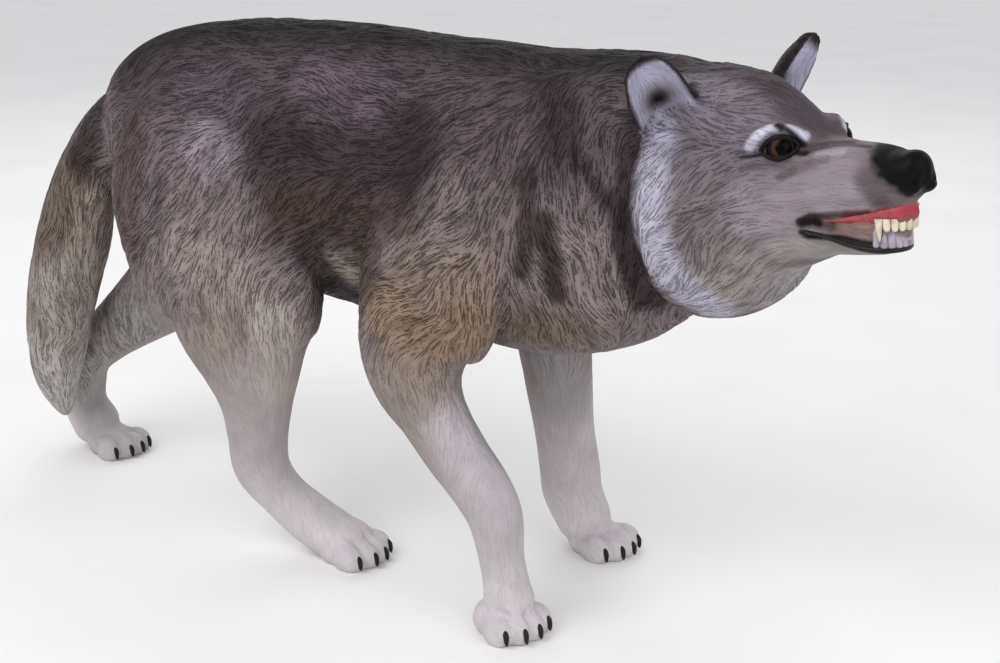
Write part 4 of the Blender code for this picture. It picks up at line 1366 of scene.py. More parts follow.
@dataclass(frozen=True)
class CoatFinish:
    """Satin resin: the airbrushed coat with a dark wash in its grooves and lighter crests."""

    roughness: float = 0.56
    gloss: float = 0.2
    groove_pitch: float = 0.0022
    groove_reach: float = 0.0072
    groove_depth: float = 0.0012
    wash_rough: float = 0.12
    specular: float = 0.07
    wash: str = "1c1516"

    def material(self, name: str, groups: "Groups") -> bpy.types.Material:
        """Builds the material.

        Args:
            name: Its name.
            groups: The shared node groups.

        Returns:
            The material.
        """
        sheet = Sheet(name)
        sprayed = sheet.attribute("sprayed", "Color")
        flow = sheet.attribute("flow", "Vector")
        hair = sheet.attribute("hair", "Fac")
        furrow = sheet.attribute("furrow", "Fac")
        varnish = sheet.attribute("varnish", "Fac")
        carved = sheet.group(groups.carved_hair)
        carved.inputs["Scale"].default_value = 1 / self.groove_pitch
        carved.inputs["Reach"].default_value = self.groove_reach
        sheet.link(flow, carved.inputs["Flow"])
        toned = sheet.group(groups.washed)
        toned.inputs["Wash"].default_value = (*from_hex(self.wash), 1.0)
        sheet.link(sprayed, toned.inputs["Colour"])
        sheet.link(carved.outputs["Groove"], toned.inputs["Groove"])
        sheet.link(furrow, toned.inputs["Furrow"])
        sheet.link(hair, toned.inputs["Hair"])
        sheet.link(toned.outputs["Colour"], sheet.paint.inputs["Base Color"])
        height = sheet.math("MULTIPLY", carved.outputs["Height"], hair)
        bump = sheet.node("ShaderNodeBump")
        bump.inputs["Strength"].default_value = 1.0
        bump.inputs["Distance"].default_value = self.groove_depth
        sheet.link(height, bump.inputs["Height"])
        sheet.link(bump.outputs["Normal"], sheet.paint.inputs["Normal"])
        gloss = sheet.math("MULTIPLY", varnish, -self.gloss)
        rough = sheet.math("MULTIPLY_ADD", toned.outputs["Shade"], self.wash_rough, self.roughness)
        sheet.link(sheet.math("ADD", rough, gloss), sheet.paint.inputs["Roughness"])
        sheet.paint.inputs["Specular IOR Level"].default_value = self.specular
        return sheet.material


@dataclass
class Sheet:
    """A material's node sheet with short words for its nodes."""

    name: str

    def __post_init__(self) -> None:
        """Starts the material with its one shader."""
        self.material = bpy.data.materials.new(self.name)
        self.material.use_nodes = True
        self.tree = self.material.node_tree
        self.paint = self.tree.nodes["Principled BSDF"]

    def node(self, kind: str) -> bpy.types.Node:
        """A new node."""
        return self.tree.nodes.new(kind)

    def link(self, source: bpy.types.NodeSocket, target: bpy.types.NodeSocket) -> None:
        """Joins two sockets."""
        self.tree.links.new(source, target)

    def attribute(self, name: str, output: str) -> bpy.types.NodeSocket:
        """The output of an attribute of the mesh."""
        node = self.node("ShaderNodeAttribute")
        node.attribute_name = name
        return node.outputs[output]

    def group(self, tree: bpy.types.NodeTree) -> bpy.types.Node:
        """A placed node group."""
        node = self.node("ShaderNodeGroup")
        node.node_tree = tree
        return node

    def math(self, operation: str, *values: object) -> bpy.types.NodeSocket:
        """The output of a Math node fed by sockets or numbers."""
        return math_node(self.tree, operation, *values)


def feed(tree: bpy.types.NodeTree, socket: bpy.types.NodeSocket, value: object) -> None:
    """Joins another socket to a socket, or sets it to a number or a colour.

    Args:
        tree: Where the nodes are.
        socket: What is fed.
        value: A socket, a number or a colour.
    """
    if isinstance(value, bpy.types.NodeSocket):
        tree.links.new(value, socket)
    else:
        socket.default_value = value


def noise_node(tree: bpy.types.NodeTree, place: object, scale: object, detail: float) -> object:
    """Adds a Noise node.

    Args:
        tree: Where it goes.
        place: The socket of its places.
        scale: A socket or number.
        detail: How many finer layers it has.

    Returns:
        Its value.
    """
    noise = tree.nodes.new("ShaderNodeTexNoise")
    feed(tree, noise.inputs["Vector"], place)
    feed(tree, noise.inputs["Scale"], scale)
    feed(tree, noise.inputs["Detail"], detail)
    return noise.outputs[0]


def range_node(tree: bpy.types.NodeTree, value: object, low: float, high: float) -> bpy.types.NodeSocket:
    """Adds a Map Range node that goes from zero to one.

    Args:
        tree: Where it goes.
        value: The socket it reads.
        low: Where it is zero.
        high: Where it is one.

    Returns:
        Its result.
    """
    node = tree.nodes.new("ShaderNodeMapRange")
    feed(tree, node.inputs["Value"], value)
    feed(tree, node.inputs["From Min"], low)
    feed(tree, node.inputs["From Max"], high)
    return node.outputs[0]


def math_node(tree: bpy.types.NodeTree, operation: str, *values: object) -> bpy.types.NodeSocket:
    """Adds a Math node.

    Args:
        tree: Where it goes.
        operation: What it does.
        values: Sockets or numbers for its inputs.

    Returns:
        Its output.
    """
    node = tree.nodes.new("ShaderNodeMath")
    node.operation = operation
    for socket, value in zip(node.inputs, values):
        feed(tree, socket, value)
    return node.outputs[0]


def mix_node(
    tree: bpy.types.NodeTree, factor: object, one: object, other: object, way: str = "MIX"
) -> bpy.types.NodeSocket:
    """Adds a colour Mix node.

    Args:
        tree: Where it goes.
        factor: A socket or number.
        one: The first colour, a socket or a colour.
        other: The second.
        way: The blend.

    Returns:
        Its colour output.
    """
    node = tree.nodes.new("ShaderNodeMix")
    node.data_type = "RGBA"
    node.blend_type = way
    feed(tree, node.inputs[0], factor)
    feed(tree, node.inputs[6], one)
    feed(tree, node.inputs[7], other)
    return node.outputs[2]


class Groups:
    """The node groups that more than one finish uses."""

    samples: int = 8
    crest_range: tuple[float, float] = (-0.075, 0.005)
    stain_range: tuple[float, float] = (0.42, 0.78)
    fine_wash: float = 0.52
    deep_wash: float = 0.24
    darkest: float = 0.93
    cloud_scale: float = 34.0
    cloud_tone: float = 0.3
    crest_tone: float = 0.34

    def __init__(self) -> None:
        """Builds the groups."""
        self.carved_hair = self.make_carved_hair()
        self.washed = self.make_washed()
        self.handmade = self.make_handmade()

    def start(self, name: str, inputs: tuple, outputs: tuple) -> tuple:
        """A new group with its sockets.

        Args:
            name: The group's name.
            inputs: Kind, name and value of each input.
            outputs: Kind and name of each output.

        Returns:
            The tree, the node its inputs come from and the node its outputs go to.
        """
        tree = bpy.data.node_groups.new(name, "ShaderNodeTree")
        for kind, word, value in inputs:
            socket = tree.interface.new_socket(word, in_out="INPUT", socket_type="NodeSocket" + kind)
            if value is not None:
                socket.default_value = value
        for kind, word in outputs:
            tree.interface.new_socket(word, in_out="OUTPUT", socket_type="NodeSocket" + kind)
        return tree, tree.nodes.new("NodeGroupInput"), tree.nodes.new("NodeGroupOutput")

    def make_carved_hair(self) -> bpy.types.NodeTree:
        """Fine grooves that follow the lie of the hair: noise drawn out along the flow."""
        tree, given, result = self.start(
            "carved hair",
            (("Vector", "Flow", None), ("Float", "Scale", 250.0), ("Float", "Reach", 0.008)),
            (("Float", "Groove"), ("Float", "Height")),
        )
        place = tree.nodes.new("ShaderNodeTexCoord").outputs["Object"]
        total = None
        for index in range(self.samples):
            step = (2 * index + 1) / self.samples - 1
            scaled = tree.nodes.new("ShaderNodeVectorMath")
            scaled.operation = "SCALE"
            tree.links.new(given.outputs["Flow"], scaled.inputs[0])
            reach = math_node(tree, "MULTIPLY", given.outputs["Reach"], step)
            tree.links.new(reach, scaled.inputs["Scale"])
            moved = tree.nodes.new("ShaderNodeVectorMath")
            moved.operation = "ADD"
            tree.links.new(place, moved.inputs[0])
            tree.links.new(scaled.outputs[0], moved.inputs[1])
            value = noise_node(tree, moved.outputs[0], given.outputs["Scale"], 0.0)
            total = value if total is None else math_node(tree, "ADD", total, value)
        level = math_node(tree, "MULTIPLY_ADD", total, 1 / self.samples, -0.5)
        crest = range_node(tree, level, *self.crest_range)
        crest.node.interpolation_type = "SMOOTHSTEP"
        tree.links.new(math_node(tree, "MULTIPLY_ADD", level, 3.0, crest), result.inputs["Height"])
        tree.links.new(math_node(tree, "SUBTRACT", 1.0, crest), result.inputs["Groove"])
        return tree

    def make_washed(self) -> bpy.types.NodeTree:
        """A dark wash that stays in the grooves, pale crests, and a blotchy, handmade unevenness."""
        tree, given, result = self.start(
            "washed coat",
            (
                ("Color", "Colour", (0.2, 0.2, 0.2, 1.0)),
                ("Color", "Wash", (0.02, 0.02, 0.02, 1.0)),
                ("Float", "Groove", 0.0),
                ("Float", "Furrow", 0.0),
                ("Float", "Hair", 1.0),
            ),
            (("Color", "Colour"), ("Float", "Shade")),
        )
        place = tree.nodes.new("ShaderNodeTexCoord").outputs["Object"]
        cloud = noise_node(tree, place, self.cloud_scale, 4.0)
        groove, furrow, hair = (given.outputs[word] for word in ("Groove", "Furrow", "Hair"))
        fine = math_node(tree, "MULTIPLY", groove, self.fine_wash)
        deep = math_node(tree, "MULTIPLY", furrow, self.deep_wash)
        shade = math_node(tree, "MULTIPLY", math_node(tree, "ADD", fine, deep), hair)
        uneven = math_node(tree, "MULTIPLY_ADD", cloud, 1.1, 0.45)
        shade = math_node(tree, "MINIMUM", math_node(tree, "MULTIPLY", shade, uneven), self.darkest)
        crest = math_node(tree, "SUBTRACT", 1.0, math_node(tree, "MAXIMUM", groove, furrow))
        crest = math_node(tree, "MULTIPLY", math_node(tree, "MAXIMUM", crest, 0.0), hair)
        dark = mix_node(tree, shade, given.outputs["Colour"], given.outputs["Wash"])
        tone = math_node(tree, "MULTIPLY_ADD", cloud, self.cloud_tone, 1 - self.cloud_tone / 2)
        tone = math_node(tree, "MULTIPLY_ADD", crest, self.crest_tone, tone)
        grey = tree.nodes.new("ShaderNodeCombineColor")
        for channel in range(3):
            tree.links.new(tone, grey.inputs[channel])
        mixed = mix_node(tree, 1.0, dark, grey.outputs[0], "MULTIPLY")
        tree.links.new(mixed, result.inputs["Colour"])
        tree.links.new(shade, result.inputs["Shade"])
        return tree

    def make_handmade(self) -> bpy.types.NodeTree:
        """A slight unevenness of tone and surface, for the small glossy pieces."""
        tree, given, result = self.start(
            "handmade",
            (
                ("Color", "Colour", (0.5, 0.5, 0.5, 1.0)),
                ("Color", "Stain", (0.2, 0.1, 0.1, 1.0)),
                ("Float", "Scale", 90.0),
            ),
            (("Color", "Colour"), ("Float", "Height")),
        )
        place = tree.nodes.new("ShaderNodeTexCoord").outputs["Object"]
        noise = noise_node(tree, place, given.outputs["Scale"], 3.0)
        amount = range_node(tree, noise, *self.stain_range)
        mixed = mix_node(tree, amount, given.outputs["Colour"], given.outputs["Stain"])
        tree.links.new(mixed, result.inputs["Colour"])
        tree.links.new(noise, result.inputs["Height"])
        return tree


@dataclass(frozen=True)
class GlossFinish:
    """A glossy paint with blotches of a stain, and a slight unevenness of its surface."""

    colour: str
    stain: str
    roughness: float
    scale: float = 90.0
    bump: float = 0.0003
    specular: float = 0.5

    def material(self, name: str, groups: Groups) -> bpy.types.Material:
        """Builds the material.

        Args:
            name: Its name.
            groups: The shared node groups.

        Returns:
            The material.
        """
        sheet = Sheet(name)
        uneven = sheet.group(groups.handmade)
        uneven.inputs["Colour"].default_value = (*from_hex(self.colour), 1.0)
        uneven.inputs["Stain"].default_value = (*from_hex(self.stain), 1.0)
        uneven.inputs["Scale"].default_value = self.scale
        sheet.link(uneven.outputs["Colour"], sheet.paint.inputs["Base Color"])
        bump = sheet.node("ShaderNodeBump")
        bump.inputs["Distance"].default_value = self.bump
        sheet.link(uneven.outputs["Height"], bump.inputs["Height"])
        sheet.link(bump.outputs["Normal"], sheet.paint.inputs["Normal"])
        sheet.paint.inputs["Roughness"].default_value = self.roughness
        sheet.paint.inputs["Specular IOR Level"].default_value = self.specular
        return sheet.material


@dataclass(frozen=True)
class EyeFinish:
    """A glass eye: a black pupil, an amber-brown iris with rays, and a dark ring round it."""

    iris: str = "3a2419"
    ray: str = "4f3423"
    ring: str = "120c0a"
    pupil: tuple[float, float, float, float] = (0.0015, 0.0012, 0.001, 1.0)
    pupil_edge: tuple[float, float] = (0.55, 0.6)
    ring_edge: tuple[float, float] = (0.8, 0.92)
    ray_scale: float = 420.0
    roughness: float = 0.06
    specular: float = 0.05

    def material(self, name: str, groups: Groups) -> bpy.types.Material:
        """Builds the material.

        Args:
            name: Its name.
            groups: The shared node groups.

        Returns:
            The material.
        """
        sheet = Sheet(name)
        across = sheet.attribute("across", "Fac")
        uneven = sheet.group(groups.handmade)
        uneven.inputs["Colour"].default_value = (*from_hex(self.iris), 1.0)
        uneven.inputs["Stain"].default_value = (*from_hex(self.ray), 1.0)
        uneven.inputs["Scale"].default_value = self.ray_scale
        inner = range_node(sheet.tree, across, *self.pupil_edge)
        inner = mix_node(sheet.tree, inner, self.pupil, uneven.outputs["Colour"])
        outer = range_node(sheet.tree, across, *self.ring_edge)
        whole = mix_node(sheet.tree, outer, inner, (*from_hex(self.ring), 1.0))
        sheet.link(whole, sheet.paint.inputs["Base Color"])
        sheet.paint.inputs["Roughness"].default_value = self.roughness
        sheet.paint.inputs["Specular IOR Level"].default_value = self.specular
        return sheet.material


@dataclass
class Workshop:
    """Makes the pieces of the wolf as objects of the scene and hands them to the frame."""

    shift: Vector
    low: Vector
    high: Vector

    def kept_inside(self, data: bpy.types.Mesh) -> None:
        """Moves mesh data to its place and keeps it inside the casting's box."""
        points = places_of(data) + np.array(self.shift)
        points = np.clip(points, np.array(self.low), np.array(self.high))
        data.vertices.foreach_set("co", points.ravel())
        data.update()

    def hand_over(self, data: bpy.types.Mesh, name: str, material: bpy.types.Material) -> None:
        """Puts a piece into the scene, riding on the casting's body.

        Args:
            data: Its mesh, in the sculptor's frame.
            name: Its name.
            material: Its finish.
        """
        self.kept_inside(data)
        piece = bpy.data.objects.new(name, data)
        bpy.context.scene.collection.objects.link(piece)
        data.materials.clear()
        data.materials.append(material)
        data.polygons.foreach_set("use_smooth", [True] * len(data.polygons))
        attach(piece, BODY)
        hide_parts(CASTING_NODE)
        LOG.info("%s: %d faces", name, len(data.polygons))


class Region(Enum):
    """The pieces that the skin is cut into."""

    HEAD = "head"
    SHOULDERS = "neck_and_shoulders"
    RUMP = "barrel_and_rump"
    TAIL = "tail"
    FRONT_LEGS = "front_legs"
    HIND_LEGS = "hind_legs"


@dataclass(frozen=True)
class Cuts:
    """Where the skin is cut between its regions."""

    waist: float = 0.09
    front_leg_top: float = 0.355
    front_leg_back: float = 0.1
    hind_leg_top: float = 0.39
    hind_leg_front: float = 0.05
    tail_front: float = -0.455
    tail_side: float = 0.055
    hock_height: float = 0.14
    hock_side: float = 0.028
    ruff: float = -0.05
    chin: float = 0.4

    def regions(self, middles: Points) -> Points:
        """The number of the region that each face belongs to.

        Args:
            middles: The middles of the faces.

        Returns:
            For each, the place of its region in Region.
        """
        back = np.array(HEAD.frame().inverted())
        along = (middles @ back[:3, :3].T + back[:3, 3])[:, 0]
        x, y, z = middles.T
        order = list(Region)
        number = np.where(x > self.waist, order.index(Region.SHOULDERS), order.index(Region.RUMP))
        number[(z < self.front_leg_top) & (x > self.front_leg_back)] = order.index(Region.FRONT_LEGS)
        number[(z < self.hind_leg_top) & (x < self.hind_leg_front)] = order.index(Region.HIND_LEGS)
        tail = (x < self.tail_front) & (y < self.tail_side - 0.25 * np.clip(0.4 - z, 0, 0.04))
        number[tail & ((z > self.hock_height) | (y < self.hock_side))] = order.index(Region.TAIL)
        number[(along > self.ruff) & (z > self.chin)] = order.index(Region.HEAD)
        return number


@dataclass
class Hide:
    """The wolf's whole skin: carved, painted and cut into pieces."""

    coat: Coat = field(default_factory=Coat)

    def carved(self) -> tuple[Skin, dict[str, Points]]:
        """The carved skin with what is painted on it.

        Returns:
            The skin, and by name one row of values for each of its points.
        """
        skin = Sculptor().skin()
        folds = HEAD.folds() + HEAD.hollows() + TRUNK.folds()
        for leg in LEGS:
            folds.extend(PAW.partings(leg.frame()))
        skin.fold(folds)
        self.open_eyes(skin)
        colour = self.coat.painted(skin)
        black = self.coat.black_nose(skin)
        colour += black[:, None] * (np.array(from_hex(self.coat.nose)) - colour)
        inner = self.coat.ears(skin, colour)
        hair = self.coat.strength(skin, black, inner)
        flow = Flow(skin.points.min(axis=0) - 0.02)
        flow.lay(*hair_arrows())
        coat, laid = self.coat, (skin.points, skin.normals)
        locks = flow.combed(*laid, coat.lock_pitch, coat.lock_length, coat.lock_seed)
        locks = ramp(locks, *coat.lock_edge)
        strands = flow.combed(*laid, coat.strand_pitch, coat.strand_length, coat.strand_seed)
        strands = ramp(strands, *coat.strand_edge)
        sink = coat.lock_depth * (1 - locks) + coat.strand_depth * (1 - strands)
        ways = flow.way(skin.points, skin.normals)
        skin.points -= skin.normals * (hair * sink)[:, None]
        skin.points[:, 2] = np.maximum(skin.points[:, 2], 0.0)
        skin.renew()
        furrow = np.clip(0.45 * (1 - locks) + 0.6 * (1 - strands), 0, 1)
        return skin, {
            "sprayed": colour,
            "flow": ways,
            "hair": hair,
            "furrow": furrow,
            "varnish": black * ramp(skin.in_frame(HEAD.frame())[0][:, 0], 0.282, 0.302),
        }

    def open_eyes(self, skin: Skin) -> None:
        """Sinks the skin inside the lids, so that the glass eyes show."""
        for side in (-1, 1):
            eye = Eye(side)
            spots = (skin.points - np.array(eye.middle())) @ eye.axes()
            along, up, out = spots[:, 0], spots[:, 1], spots[:, 2]
            near = (np.abs(along) < 0.045) & (np.abs(up) < 0.03) & (np.linalg.norm(spots, axis=1) < 0.06)
            inside = eye.opening_share(along, up) < 1.0
            sink = near & inside & (out > 0)
            skin.points[sink] -= np.array(eye.axes()[:, 2]) * eye.sunk
        skin.renew()

    def pieces(self, shop: Workshop, groups: Groups) -> None:
        """Cuts the skin into pieces and hands them over.

        Args:
            shop: Where they go.
            groups: The shared node groups.
        """
        skin, layers = self.carved()
        material = CoatFinish().material("airbrushed_coat", groups)
        number = Cuts().regions(skin.points[skin.faces].mean(axis=1))
        for index, region in enumerate(Region):
            chosen = skin.faces[number == index]
            used, corners = np.unique(chosen, return_inverse=True)
            data = bpy.data.meshes.new(region.value)
            data.from_pydata(skin.points[used].tolist(), [], corners.reshape(-1, 4).tolist())
            for name, values in layers.items():
                self.store(data, name, values[used])
            normals = skin.normals[used]
            shop.hand_over(data, region.value, material)
            data.normals_split_custom_set_from_vertices(normals.tolist())

    def store(self, data: bpy.types.Mesh, name: str, values: Points) -> None:
        """Keeps one value, way or colour for each point of the mesh.

        Args:
            data: The mesh.
            name: What is kept.
            values: A row for each point.
        """
        if name == "sprayed":
            layer = data.attributes.new(name, "FLOAT_COLOR", "POINT")
            full = np.hstack([values, np.ones((len(values), 1))])
            layer.data.foreach_set("color", full.ravel())
        elif values.ndim == 2:
            data.attributes.new(name, "FLOAT_VECTOR", "POINT").data.foreach_set("vector", values.ravel())
        else:
            data.attributes.new(name, "FLOAT", "POINT").data.foreach_set("value", values)


@dataclass(frozen=True)
class Eye:
    """One glass eye between its lids."""

    side: int
    proud: float = 0.0006
    half_length: float = 0.0215
    upper: float = 0.0118
    lower: float = 0.0112
    lid: float = 0.0027
    lid_steps: int = 32
    iris_angle: float = 1.06
    sunk: float = 0.0045
    gaze: tuple[float, float, float] = (0.86, 0.46, 0.16)
    face: tuple[float, float, float] = (0.6, 0.76, 0.18)

    def middle(self) -> Vector:
        """The middle of the eyeball in the body's frame."""
        x, y, z = HEAD.eye
        return HEAD.frame() @ Vector((x, self.side * y, z))

    def turned(self, way: tuple[float, float, float]) -> Vector:
        """A direction of the head, on this eye's side, as a direction of the body."""
        x, y, z = way
        return (HEAD.frame().to_3x3() @ Vector((x, self.side * y, z))).normalized()

    def axes(self) -> Points:
        """Columns: towards the inner corner, up, and out of the eye."""
        out = self.turned(self.face)
        up = self.turned((0.0, 0.0, 1.0))
        up = (up - out * up.dot(out)).normalized()
        inward = up.cross(out) if self.side < 0 else out.cross(up)
        return np.array([inward, up, out]).T

    def edge(self, along: Points, high: bool) -> Points:
        """How far above or below the middle a lid's edge lies.

        Args:
            along: How far towards the inner corner.
            high: Whether it is the upper lid.

        Returns:
            The height of the edge.
        """
        share = np.clip(along / self.half_length, -1, 1)
        tilt = 0.0018 * share
        bow = (1 - share**2) ** 0.75
        return tilt + (self.upper * bow if high else -self.lower * bow)

    def opening_share(self, along: Points, up: Points) -> Points:
        """How far from the middle a point is, where one is the edge of the opening."""
        top, bottom = self.edge(along, True), self.edge(along, False)
        middle, half = (top + bottom) / 2, (top - bottom) / 2 + 1e-6
        return np.maximum(np.abs(up - middle) / half, np.abs(along) / self.half_length)

    def ball(self) -> bpy.types.Mesh:
        """The glass ball, with how far each point is from the middle of the pupil."""
        mesh = bmesh.new()
        radius = HEAD.eye_radius + self.proud
        place = Matrix.Translation(self.middle())
        bmesh.ops.create_icosphere(mesh, subdivisions=5, radius=radius, matrix=place)
        data = as_data(mesh, "eyeball")
        ways = (places_of(data) - np.array(self.middle())) / radius
        angle = np.arccos(np.clip(ways @ np.array(self.turned(self.gaze)), -1, 1))
        data.attributes.new("across", "FLOAT", "POINT").data.foreach_set("value", angle / self.iris_angle)
        return data

    def lids(self) -> bpy.types.Mesh:
        """The black rims of the upper and the lower lid, tapering to the corners."""
        mesh = bmesh.new()
        axes = self.axes()
        radius = HEAD.eye_radius + self.proud
        for high in (True, False):
            runs, sizes = [], []
            for step in range(self.lid_steps + 1):
                share = 2 * step / self.lid_steps - 1
                along = share * self.half_length * 1.04
                up = float(self.edge(np.array([along]), high)[0])
                flat = math.sqrt(max(radius**2 - along**2 - up**2, 0.0))
                out = max(flat, 0.55 * radius * math.sqrt(max(0.0, 1 - (share * 0.55) ** 2))) - 0.0002
                runs.append(self.middle() + Vector(axes @ np.array([along, up, out])))
                sizes.append(self.lid * (0.55 + 0.75 * (1 - share**2)))
            tube(mesh, runs, sizes, 10)
        return as_data(mesh, "lids")


def tube(mesh: bmesh.types.BMesh, run: list, sizes: list, points_round: int) -> None:
    """Adds a closed tube along a run of points, with its own half thickness at each.

    Args:
        mesh: Where it goes.
        run: The middle line.
        sizes: The half thickness at each point.
        points_round: How many points go round it.
    """
    line = np.array([tuple(point) for point in run])
    ways = np.gradient(line, axis=0)
    side = Vector((0.31, -0.74, 0.6))
    loops = []
    for place, way, size in zip(line, ways, sizes):
        along = Vector(way).normalized()
        across = (side - along * side.dot(along)).normalized()
        other = along.cross(across)
        loop = []
        for step in range(points_round):
            angle = math.tau * step / points_round
            way_out = across * math.cos(angle) + other * math.sin(angle)
            loop.append(mesh.verts.new(Vector(place) + way_out * size))
        loops.append(loop)
    join_loops(mesh, loops)


@dataclass(frozen=True)
class Mouth:
    """The gums and the bared teeth, on an arch behind the nose."""

    front: float = 0.286
    half: float = 0.0272
    depth: float = 0.03
    step: float = 0.29
    upper_gum: float = -0.04
    lower_gum: float = -0.064
    jaw_shorter: float = 0.0065
    side_run: float = 0.03
    side_spread: float = 0.0042
    gum_end: float = 3.5
    gum_steps: int = 160
    gum_round: int = 14
    gum_thick: float = 0.0026
    gum_sunk: float = 0.0014
    gum_lean: float = 0.006
    gum_half_height: float = 0.0105
    # the length of an incisor and of a canine
    upper_lengths: tuple[float, float] = (0.0098, 0.0225)
    lower_lengths: tuple[float, float] = (0.0165, 0.0175)
    tooth_radius: float = 0.0043
    canine_radius: float = 0.0045
    tooth_root: float = 0.004
    canine_bend: float = 0.0022

    def spot(self, angle: float, height: float, lower: bool, out: float = 0.0) -> Vector:
        """A place on the arch, at an angle from its front.

        Args:
            angle: Round the arch from the front.
            height: In the head's frame.
            lower: Whether it is the lower jaw's arch.
            out: How far outside the arch.

        Returns:
            The place in the body's frame.
        """
        back = self.jaw_shorter if lower else 0.0
        bend = max(-math.pi / 2, min(math.pi / 2, angle))
        beyond = abs(angle) - abs(bend)
        forward = self.front - self.depth * (1 - math.cos(bend)) - back + out * math.cos(bend)
        forward -= self.side_run * beyond
        sideways = (self.half - back / 2 + self.side_spread * beyond + out) * math.sin(bend)
        return HEAD.frame() @ Vector((forward, sideways, height))

    def gum(self) -> bpy.types.Mesh:
        """The upper gum: tall under the nose, thin along the lip, swollen round each tooth."""
        mesh = bmesh.new()
        loops = []
        for index in range(self.gum_steps + 1):
            angle = (2 * index / self.gum_steps - 1) * self.gum_end
            away = abs(angle) / self.gum_end
            half_height = self.gum_half_height * (1 - away) ** 1.15 + 0.0012
            level = self.upper_gum - 0.002 + half_height - 0.004 * away
            lean = self.gum_lean * (1 - away)
            swell = 0.0008 * math.cos(math.tau * angle / self.step) * (1 - away)
            loop = []
            for step in range(self.gum_round):
                turn = math.tau * step / self.gum_round
                out = (self.gum_thick + swell) * math.cos(turn) - self.gum_sunk
                out += lean * math.sin(turn)
                height = level + half_height * math.sin(turn)
                loop.append(mesh.verts.new(self.spot(angle, height, False, out)))
            loops.append(loop)
        join_loops(mesh, loops)
        return turned_out(mesh, "gum")

    def lip(self) -> bpy.types.Mesh:
        """The black lower lip, from one corner of the mouth round the chin to the other."""
        half = ((0.172, -0.041, -0.058), (0.2, -0.0385, -0.061), (0.232, -0.034, -0.067),
                (0.257, -0.027, -0.0705), (0.273, -0.015, -0.0705))
        line = half + ((0.279, 0.0, -0.07),) + tuple((x, -y, z) for x, y, z in half[::-1])
        run = smooth_run(np.array([tuple(point) for point in placed(HEAD.frame(), line)]), 8)
        mesh = bmesh.new()
        shares = [index / (len(run) - 1) for index in range(len(run))]
        sizes = [0.0014 + 0.0026 * math.sin(math.pi * share) ** 0.8 for share in shares]
        tube(mesh, list(run), sizes, 12)
        return turned_out(mesh, "lip")

    def teeth(self, lower: bool) -> bpy.types.Mesh:
        """The incisors and the canines of one jaw, each a rounded, slightly bent peg.

        Args:
            lower: Whether it is the lower jaw.

        Returns:
            The teeth as mesh data.
        """
        mesh = bmesh.new()
        gum = self.lower_gum if lower else self.upper_gum
        canine = 3 if lower else 4
        way = 1 if lower else -1
        for place in range(-4, 5):
            long = abs(place) == canine
            length = (self.lower_lengths if lower else self.upper_lengths)[long]
            radius = self.canine_radius if long else self.tooth_radius
            runs, sizes = [], []
            for index in range(9):
                share = index / 8
                lean = self.canine_bend * share * share if long else 0.0
                height = gum - way * self.tooth_root + way * (length + self.tooth_root) * share
                runs.append(self.spot(place * self.step, height, lower, -lean))
                if long:
                    taper = (1 - share**1.6) * 0.92 + 0.08
                else:
                    taper = (1 - 0.15 * share) * (1 - share**9 * 0.45)
                sizes.append(radius * taper)
            tube(mesh, runs, sizes, 14)
        return turned_out(mesh, "teeth")


def claw_mesh() -> bpy.types.Mesh:
    """All the claws: short, curved and blunt."""
    mesh = bmesh.new()
    for leg in LEGS:
        for root, bend, tip in PAW.claw_runs(leg.frame()):
            line = smooth_run(np.array([tuple(root), tuple(bend), tuple(tip)]), 6)
            bulges = [max(0.03, 1 - (2 * index / 12 - 0.86) ** 2 / 1.35) for index in range(13)]
            tube(mesh, list(line), [PAW.claw_radius * math.sqrt(bulge) for bulge in bulges], 12)
    return turned_out(mesh, "claws")


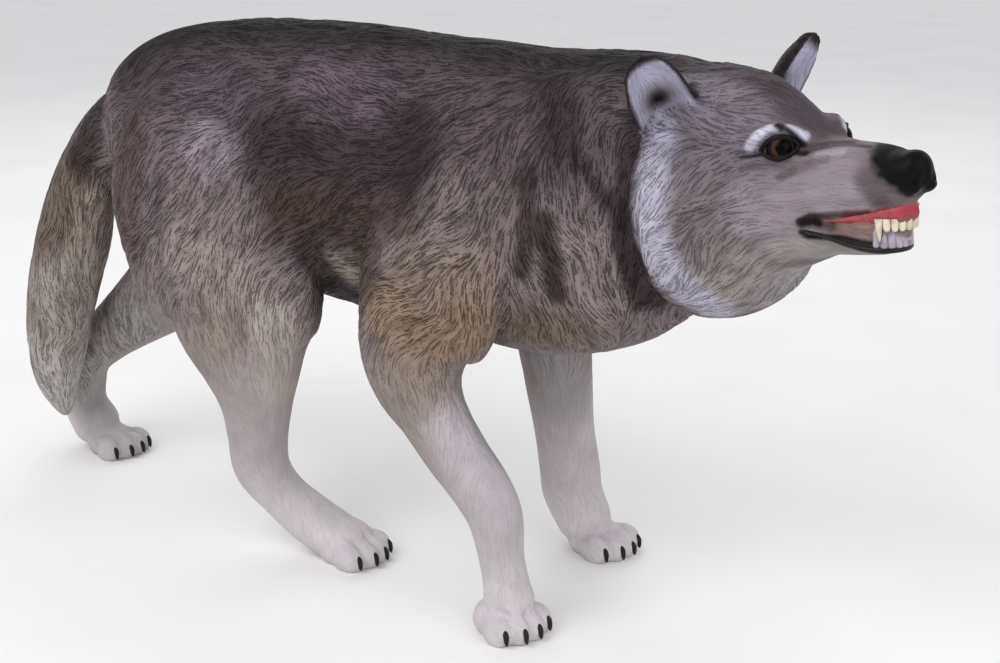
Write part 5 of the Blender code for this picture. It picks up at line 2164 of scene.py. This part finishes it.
@dataclass(frozen=True)
class Studio:
    """A pale floor, soft lights and the camera."""

    stand: tuple[float, float, float] = (1.2612, -1.7957, 1.0)
    pitch: float = math.radians(73.0)
    azimuth: float = math.radians(30.5)
    lens: float = 57.6
    floor: str = "f4f3f1"
    aim: tuple[float, float, float] = (0.0, 0.0, 0.4)

    def lay_floor(self, groups: Groups) -> None:
        """Lays the floor: one wide, plain, pale sheet."""
        mesh = bmesh.new()
        bmesh.ops.create_grid(mesh, x_segments=8, y_segments=8, size=12.0)
        data = as_data(mesh, "floor")
        floor = bpy.data.objects.new("floor", data)
        floor.location.z = -0.0005
        bpy.context.scene.collection.objects.link(floor)
        finish = GlossFinish(self.floor, "efeeec", 0.85, 3.0, 0.0)
        data.materials.append(finish.material("pale_floor", groups))

    def light(self) -> None:
        """Hangs three wide soft lights and a bright sky."""
        for name, power, size, place in (
            ("key", 62.0, 2.6, (-0.6, -2.6, 3.0)),
            ("fill", 30.0, 2.8, (3.2, -1.4, 1.9)),
            ("rim", 26.0, 2.4, (-1.6, 2.6, 2.8)),
        ):
            lamp = bpy.data.lights.new(name, "AREA")
            lamp.energy = power
            lamp.size = size
            hung = bpy.data.objects.new(name, lamp)
            hung.location = place
            down = Vector(self.aim) - Vector(place)
            hung.rotation_euler = down.to_track_quat("-Z", "Y").to_euler()
            bpy.context.scene.collection.objects.link(hung)
        world = bpy.data.worlds.new("sky")
        world.use_nodes = True
        world.node_tree.nodes["Background"].inputs["Color"].default_value = (0.95, 0.96, 1.0, 1.0)
        world.node_tree.nodes["Background"].inputs["Strength"].default_value = 0.75
        bpy.context.scene.world = world
        bpy.context.scene.view_settings.view_transform = "Standard"

    def stand_camera(self, shift: Vector) -> None:
        """Stands the camera where the photograph was taken from."""
        data = bpy.data.cameras.new("camera")
        data.lens = self.lens
        camera = bpy.data.objects.new("camera", data)
        camera.location = Vector(self.stand) + shift
        camera.rotation_euler = (self.pitch, 0.0, self.azimuth)
        bpy.context.scene.collection.objects.link(camera)
        bpy.context.scene.camera = camera


def main() -> None:
    """Builds the wolf and its studio."""
    logging.basicConfig(level=logging.INFO, format="%(relativeCreated)d ms, %(name)s: %(message)s")
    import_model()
    low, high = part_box(CASTING_NODE)
    shift = Vector(SHIFT)
    shop = Workshop(shift, low, high)
    groups = Groups()
    Hide().pieces(shop, groups)
    for side, word in ((-1, "right"), (1, "left")):
        eye = Eye(side)
        glass = EyeFinish().material(f"glass_eye_{word}", groups)
        shop.hand_over(eye.ball(), f"eye_{word}", glass)
        black = GlossFinish("0d0a0b", "1a1415", 0.5, specular=0.15).material(f"lid_black_{word}", groups)
        shop.hand_over(eye.lids(), f"lids_{word}", black)
    mouth = Mouth()
    red = GlossFinish("a8404a", "7c2a33", 0.28).material("gum_red", groups)
    ivory = GlossFinish("d8cfba", "a89678", 0.36).material("tooth_ivory", groups)
    # the lower teeth: the tooth colour in painted shade, a darker lilac grey
    shaded_tooth = GlossFinish("a89fac", "7c7180", 0.45, specular=0.3).material("tooth_shaded_ivory", groups)
    black = GlossFinish("0d0b0c", "241e1f", 0.4, specular=0.25).material("claw_black", groups)
    shop.hand_over(mouth.gum(), "upper_gum", red)
    shop.hand_over(mouth.teeth(False), "upper_teeth", ivory)
    shop.hand_over(mouth.teeth(True), "lower_teeth", shaded_tooth)
    shop.hand_over(mouth.lip(), "lower_lip", black)
    shop.hand_over(claw_mesh(), "claws", black)
    studio = Studio()
    studio.lay_floor(groups)
    studio.light()
    studio.stand_camera(shift)


if __name__ == "__main__":
    main()
